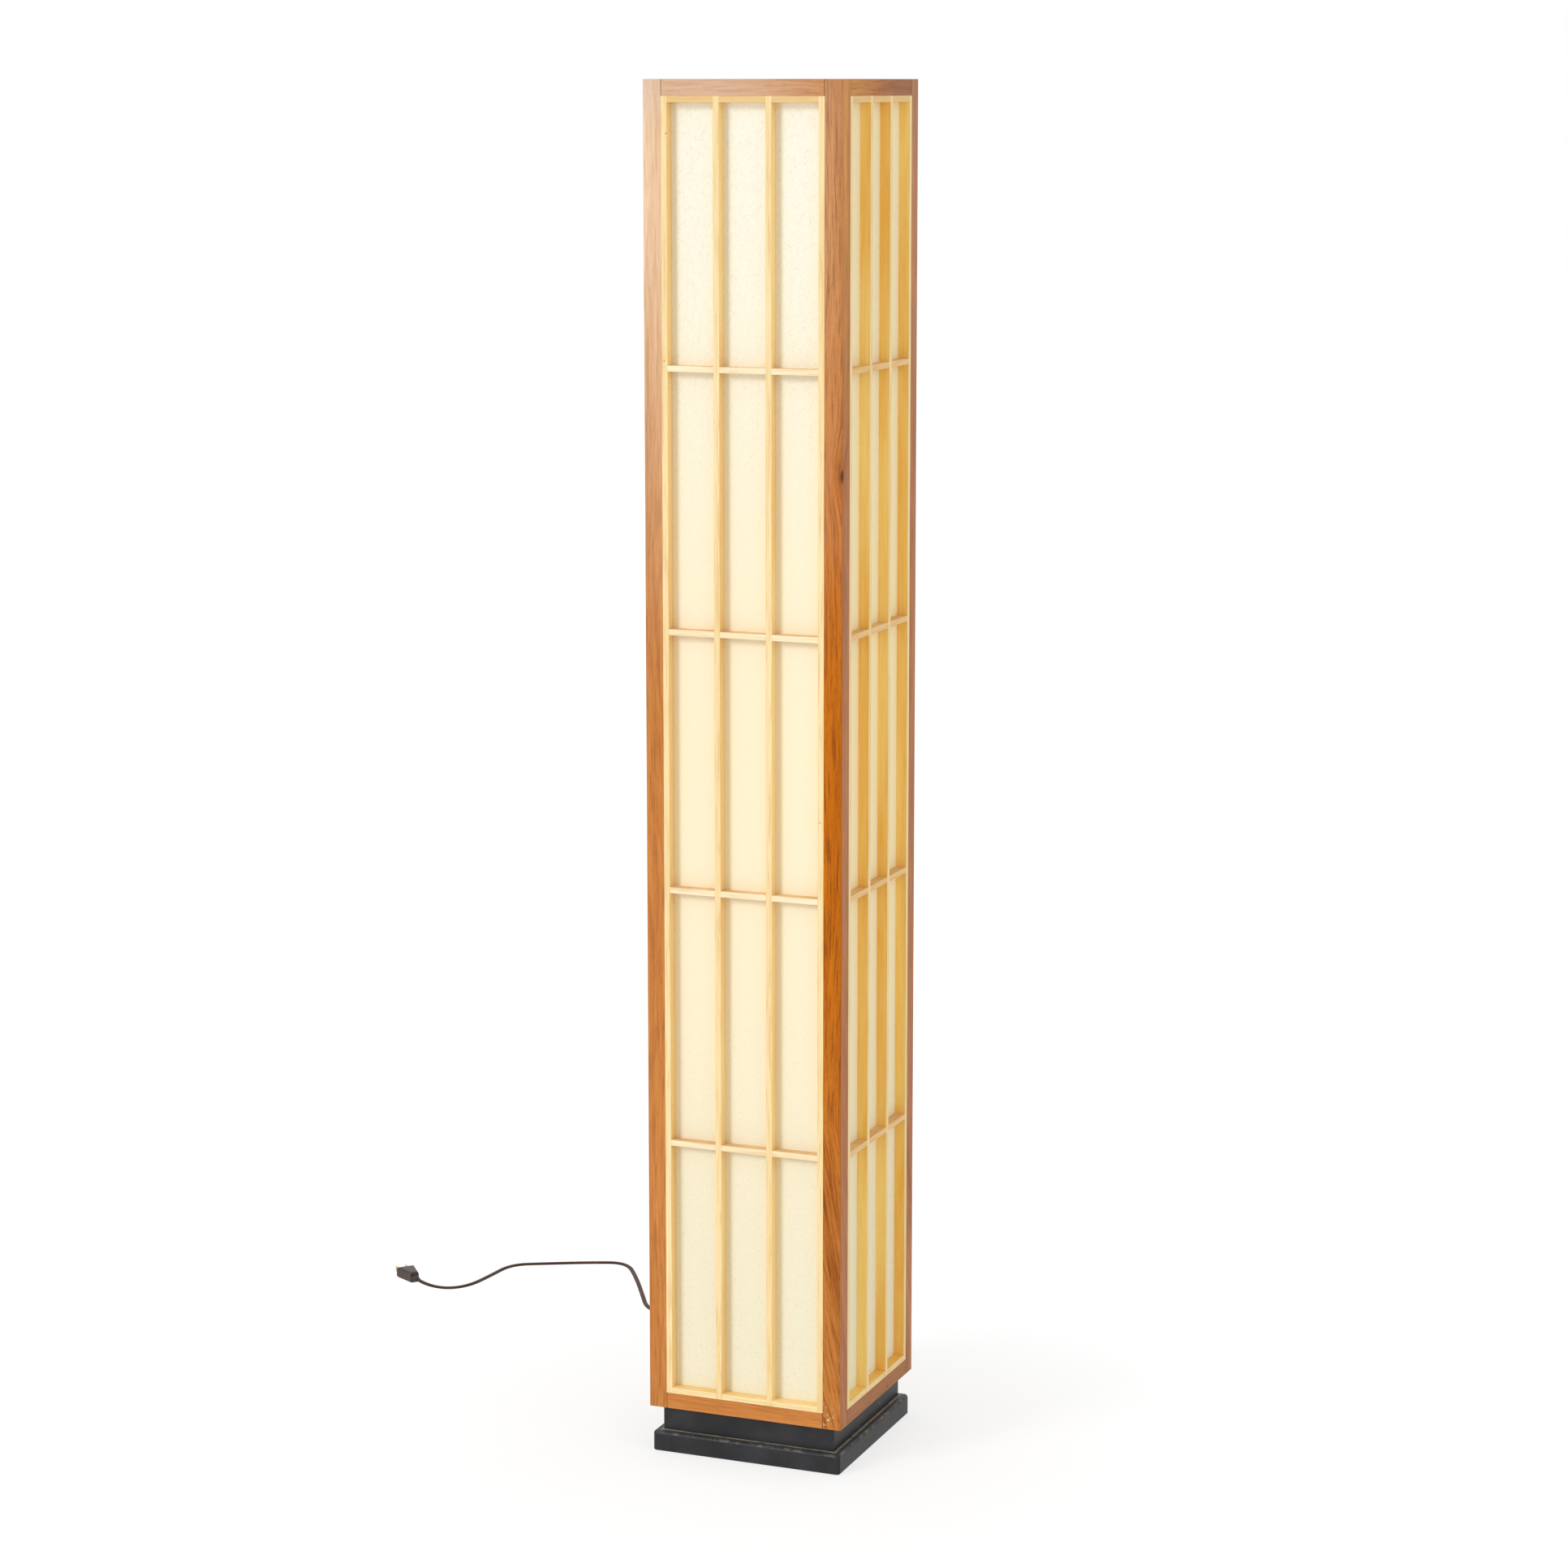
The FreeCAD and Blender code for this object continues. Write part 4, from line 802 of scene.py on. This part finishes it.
def screw_builder():
    """Countersunk slotted screws, each pointing along its place's heading, their slots turned at random."""
    tree = Builder("slotted_screws", {
        "Head Radius": ("Float", 0.0019), "Head Height": ("Float", 0.0009), "Shank Radius": ("Float", 0.001),
        "Length": ("Float", 0.005), "Pitch": ("Float", 0.0009), "Seed": ("Int", 1)})
    given = tree.given
    head_radius, head_height, shank = given["Head Radius"], given["Head Height"], given["Shank Radius"]
    slot_size = tree.joined(head_radius * 2.4, head_radius * 0.24, head_height * 0.9)
    slot = tree.node("GeometryNodeMeshCube", {}, {"Size": slot_size})
    head = tree.node("GeometryNodeMeshBoolean", {"operation": "DIFFERENCE", "solver": "EXACT"},
                     [tree.cone(28, head_radius, shank, head_height), slot])
    tip, threaded = shank * 2.4, given["Length"] - head_height - shank * 2.4
    core = tree.cone(14, shank * 0.80, shank * 0.68, threaded)
    point = tree.cone(14, shank * 0.68, 0.0, tip)
    thread = tree.node("GeometryNodeCurveSpiral", {}, {
        "Resolution": 12, "Rotations": threaded / given["Pitch"], "Start Radius": shank * 0.78,
        "End Radius": shank * 0.66, "Height": threaded})
    ridge = tree.node("GeometryNodeCurvePrimitiveCircle", {}, {"Resolution": 4, "Radius": shank * 0.21})
    thread = tree.node("GeometryNodeCurveToMesh", {},
                       {"Curve": thread, "Profile Curve": ridge, "Fill Caps": True})
    screw = tree.join(head, tree.raised(core, head_height * 0.98), tree.raised(thread, head_height),
                      tree.raised(point, given["Length"] - tip))
    heading = tree.node("GeometryNodeInputNamedAttribute", {"data_type": "FLOAT_VECTOR"}, {"Name": "heading"})
    aim = tree.node("FunctionNodeAlignRotationToVector", {"axis": "Z"}, {"Vector": heading})
    # the float sockets of a Random Value: least, most and seed, and its result
    turn = tree.node("FunctionNodeRandomValue", {"data_type": "FLOAT"},
                     {2: 0.0, 3: math.tau, 8: given["Seed"]}, 1)
    spin = tree.node("FunctionNodeAxisAngleToRotation", {}, {"Axis": (0, 0, 1), "Angle": turn})
    aim = tree.node("FunctionNodeRotateRotation", {"rotation_space": "LOCAL"}, [aim, spin])
    return tree.close(tree.node("GeometryNodeInstanceOnPoints", {},
                                {"Points": given["Places"], "Instance": screw, "Rotation": aim}))


def make_screws():
    builder = screw_builder()
    levels = [low + up for low in HINGE_LOWS for up in HINGE_SCREW_UPS]
    for seed, (side, x, toward, body) in enumerate(LEAVES):
        piece = builder.build(side + "_leaf_screws", [(x, HINGE_SCREW_Y, z) for z in levels],
                              [(toward, 0, 0)] * len(levels), Seed=seed, Material=BRASS)
        finish_piece(piece, body, [side + "_hinge_screws"])
    places, headings = [], []
    for top in ARM_TOPS:
        for i in range(2):
            one, two = (top - down - ARM_SCREW_STEP * i for down in ARM_SCREW_DOWNS)
            places += [(ARM_SCREW_START, ARM_SCREW_LINE, one), (ARM_SCREW_LINE, ARM_SCREW_START, two)]
            headings += [(-1, 0, 0), (0, -1, 0)]
    piece = builder.build("arm_fixing_screws", places, headings, Length=0.009, Seed=2, Material=STEEL)
    finish_piece(piece, "stand", ["arm_screws"])
    places = [quarter_turns(quarters) @ Vector((x, -PLINTH_SCREW_OUT, 0))
              for quarters in range(4) for x in (-PLINTH_SCREW_ASIDE, PLINTH_SCREW_ASIDE)]
    piece = builder.build("plinth_fixing_screws", places, [(0, 0, 1)] * len(places), Head_Radius=0.004,
                          Head_Height=0.0022, Shank_Radius=0.002, Length=0.0645, Pitch=0.0022, Seed=3,
                          Material=STEEL)
    finish_piece(piece, "stand", ["plinth_screws"])


# how much wider the cap gets, as a share of its radius, between two heights over its foot
CAP_STEPS = ((0.35, -0.0004, 0.0005), (0.47, 0.0010, 0.0042), (0.13, 0.0042, 0.0052), (0.035, 0.0200, 0.0212))
# where its thread and its glass begin and end
CAP_THREAD = (0.0052, 0.0068), (0.0196, 0.0182)
CAP_GLASS = (0.0009, 0.0011), (0.0043, 0.0040)


def cap_builder():
    """A lamp cap turned from its foot up: contact, glass insulator, rolled thread, plain rim."""
    tree = Builder("screw_cap", {
        "Radius": ("Float", 0.013), "Length": ("Float", 0.025), "Pitch": ("Float", 0.0036),
        "Around": ("Int", 61), "Along": ("Int", 126)})
    given = tree.given

    def shape(turn, share):
        height = share * given["Length"]
        body = sum(wider * height.rise(low, high) for wider, low, high in CAP_STEPS)
        wave = ((height / given["Pitch"] - turn) * math.tau).math("COSINE") * 0.5 + 0.5
        body = body + 0.05 * wave * height.rise(*CAP_THREAD[0]) * height.rise(*CAP_THREAD[1])
        radius = body * given["Radius"] * (share.rise(0.0, 0.005) * share.rise(1.0, 0.995))
        return radius, radius, height

    return tree.close(tree.turned(given["Around"], given["Along"], shape))


def cap_metal():
    """Rolled aluminium shell on a black glass foot with a drop of solder."""
    paint = Paint("screw_cap_metal", edge=0.0002)
    lower, apart = ARM_TOPS[0] + CAP_UP, ARM_TOPS[1] - ARM_TOPS[0]
    height = ((paint.z - lower) / apart).math("FRACT") * apart
    cloud = paint.noise(paint.place, 120.0, 4.0, 0.65)
    base = paint.blend(cloud.rise(0.35, 0.65) * 0.7, ink(206, 206, 204), ink(150, 150, 148))
    glass = height.rise(*CAP_GLASS[0]) * height.rise(*CAP_GLASS[1])
    base = paint.blend(glass, base, ink(20, 20, 24))
    return paint.done(base, cloud, 0.00002, Roughness=0.24 + 0.16 * cloud - 0.12 * glass, Metallic=1 - glass)


def make_caps():
    builder, shell = cap_builder(), cap_metal()
    for level, top in zip(("lower", "upper"), ARM_TOPS):
        piece = builder.build(level + "_screw_cap", Material=shell)
        piece.data.transform(Matrix.Translation((0, 0, top + CAP_UP)))
        finish_piece(piece, level + "_bulb", [level + "_bulb_cap"])


RELIEFS = (  # name, root, way it points, and what differs from the builder's own sizes
    ("lead_relief", (0, 0.2222, 0.0076), (0, -1, 0), {}),
    ("run_relief", (0, 0.2778, 0.0075), (0, 1, 0), {}),
    ("plug_relief", (-0.6437, 0.3408, 0.0070), (22, -19, 0),
     {"Root_Width": 0.0052, "Tip_Width": 0.0037, "Length": 0.0095, "Ribs": 4.0}),
)


def relief_builder():
    """A flat tapered sleeve with ribs, closed at both ends, along Z."""
    tree = Builder("ribbed_relief", {
        "Root Width": ("Float", 0.0046), "Root Depth": ("Float", 0.0036), "Tip Width": ("Float", 0.0034),
        "Tip Depth": ("Float", 0.0021), "Length": ("Float", 0.013), "Ribs": ("Float", 5.0),
        "Groove": ("Float", 0.16), "Around": ("Int", 37), "Along": ("Int", 80)})
    given = tree.given

    def shape(turn, share):
        ribbed = share.rise(0.05, 0.12) * share.rise(0.97, 0.90)
        wave = ((share * given["Ribs"] * math.tau).math("COSINE") * 0.5 + 0.5) ** 0.5
        size = (1 - given["Groove"] * wave * ribbed) * share.rise(0.0, 0.013) * share.rise(1.0, 0.985)
        wide, deep = ((given["Root " + way] * (1 - share) + given["Tip " + way] * share) * size
                      for way in ("Width", "Depth"))
        return wide, deep, share * given["Length"]

    return tree.close(tree.turned(given["Around"], given["Along"], shape))


def make_reliefs():
    builder = relief_builder()
    pieces = []
    for name, root, heading, sizes in RELIEFS:
        piece = builder.build(name, Material=MOULDING, **sizes)
        out = Vector(heading).normalized()
        turn = Matrix((out.cross((0, 0, 1)), (0, 0, -1), out)).transposed().to_4x4()
        piece.data.transform(Matrix.Translation(root) @ turn)
        pieces.append(finish_piece(piece, "stand"))
    return pieces


STRAP_NEAR, STRAP_FAR = 0.0214, 0.0403  # from the coil's middle, inside the strap
STRAP_LOW, STRAP_HIGH, STRAP_CORNER, STRAP_STEPS = 0.00085, 0.0073, 0.0024, 6
STRAP_THICK, STRAP_HALF_WIDTH = 0.0008, 0.003
BUCKLE = (0.0300, 0.0011, (0.0066, 0.0080, 0.0030))  # distance out, its middle over the strap, size
TAIL = (0.0366, 0.0004, (0.0090, 0.0050, 0.0009))


def strap_loop(more):
    """The strap's round as distances out and up, outside its inner face by a distance of more."""
    far, near, low, high = STRAP_FAR, STRAP_NEAR, STRAP_LOW, STRAP_HIGH
    for i, (out, up) in enumerate(((far, high), (near, high), (near, low), (far, low))):
        middle_out = out - STRAP_CORNER if out == far else out + STRAP_CORNER
        middle_up = up - STRAP_CORNER if up == high else up + STRAP_CORNER
        for j in range(STRAP_STEPS + 1):
            angle = math.radians(90 * i + 90 * j / STRAP_STEPS)
            reach = STRAP_CORNER + more
            yield middle_out + reach * math.cos(angle), middle_up + reach * math.sin(angle)


def make_tie():
    """A strap round the coil, its buckle on top and its tail along the coil."""
    toward, across = Vector((1, -1, 0)).normalized(), Vector((1, 1, 0)).normalized()
    origin = Vector((*COIL_MIDDLE, 0))
    shape = bmesh.new()
    rings = []
    for more, side in ((0, -1), (STRAP_THICK, -1), (STRAP_THICK, 1), (0, 1)):
        aside = across * side * STRAP_HALF_WIDTH
        rings.append([shape.verts.new(origin + toward * out + aside + Vector((0, 0, up)))
                      for out, up in strap_loop(more)])
    count = len(rings[0])
    for one, two in zip(rings, rings[1:] + rings[:1]):
        for i in range(count):
            shape.faces.new((one[i], one[(i + 1) % count], two[(i + 1) % count], two[i]))
    turn = Matrix((toward, across, (0, 0, 1))).transposed().to_4x4()
    for out, over, size in (BUCKLE, TAIL):
        block = bmesh.ops.create_cube(shape, size=1.0)["verts"]
        place = Matrix.Translation(origin + toward * out + Vector((0, 0, STRAP_HIGH + STRAP_THICK + over)))
        bmesh.ops.transform(shape, matrix=place @ turn @ Matrix.Diagonal((*size, 1)), verts=block)
        edges = list({edge for vert in block for edge in vert.link_edges})
        bmesh.ops.bevel(shape, geom=edges, offset=min(size) * 0.3, segments=2, affect="EDGES")
    bmesh.ops.remove_doubles(shape, verts=shape.verts, dist=1e-7)
    bmesh.ops.recalc_face_normals(shape, faces=shape.faces)
    data = bpy.data.meshes.new("coil_strap")
    shape.to_mesh(data)
    shape.free()
    data.shade_smooth()
    data.set_sharp_from_angle(angle=SHARP)
    data.materials.append(plastic("strap", ink(24, 24, 25), ink(36, 36, 37), 0.5))
    return finish_piece(put_in_scene("coil_strap", data), "stand", ["coil_tie"])


make_screws()
make_caps()
lead_relief, run_relief, plug_relief = make_reliefs()
coil_strap = make_tie()


# Studio

FLOOR_SIZE, FLOOR_DROP = 40, 0.0002
# where each stands, its strength, its width in degrees
LAMPS = (("key", (-0.50, -0.80, 0.46), 1.00, 18), ("fill", (0.78, -0.35, 0.35), 0.30, 60))


def seen_directly(tree):
    """1 for what the camera sees, also in gloss and through glass; 0 for what only lights the object."""
    rays = [tree.node("ShaderNodeLightPath", out=name)
            for name in ("Is Camera Ray", "Is Glossy Ray", "Is Transmission Ray")]
    return rays[0].most(rays[1]).most(rays[2])


def make_floor():
    """Pale, with the object's shadow, and white further off."""
    bpy.ops.mesh.primitive_plane_add(size=FLOOR_SIZE)
    floor = bpy.context.object
    floor.name = "floor"
    floor.location.z = -FLOOR_DROP
    material = bpy.data.materials.new("floor")
    material.use_nodes = True
    tree = Tree(material.node_tree)
    far = tree.vector("LENGTH", tree.node("ShaderNodeTexCoord", out="Object"), out="Value").rise(0.15, 0.85)
    base = tree.node("ShaderNodeBsdfDiffuse", {}, {"Color": (0.97, 0.97, 0.97, 1)})
    glow = tree.node("ShaderNodeEmission", {}, {"Color": (1, 1, 1, 1), "Strength": 1.07})
    mixed = tree.node("ShaderNodeMixShader", {}, [(0.64 + 0.36 * far) * seen_directly(tree), base, glow])
    tree.node("ShaderNodeOutputMaterial", {}, [mixed])
    floor.data.materials.append(material)


def make_light():
    world = bpy.data.worlds.new("studio")
    bpy.context.scene.world = world
    world.use_nodes = True
    tree = Tree(world.node_tree)
    around, behind = (tree.node("ShaderNodeBackground", {}, {"Color": (1, 1, 1, 1), "Strength": strength})
                      for strength in (0.70, 1.0))
    mixed = tree.node("ShaderNodeMixShader", {}, [seen_directly(tree), around, behind])
    tree.node("ShaderNodeOutputWorld", {}, [mixed])
    for name, toward, strength, degrees in LAMPS:
        data = bpy.data.lights.new(name, "SUN")
        data.energy = strength
        data.angle = math.radians(degrees)
        put_in_scene(name, data).rotation_euler = Vector(toward).to_track_quat("Z", "Y").to_euler()


make_floor()
make_light()
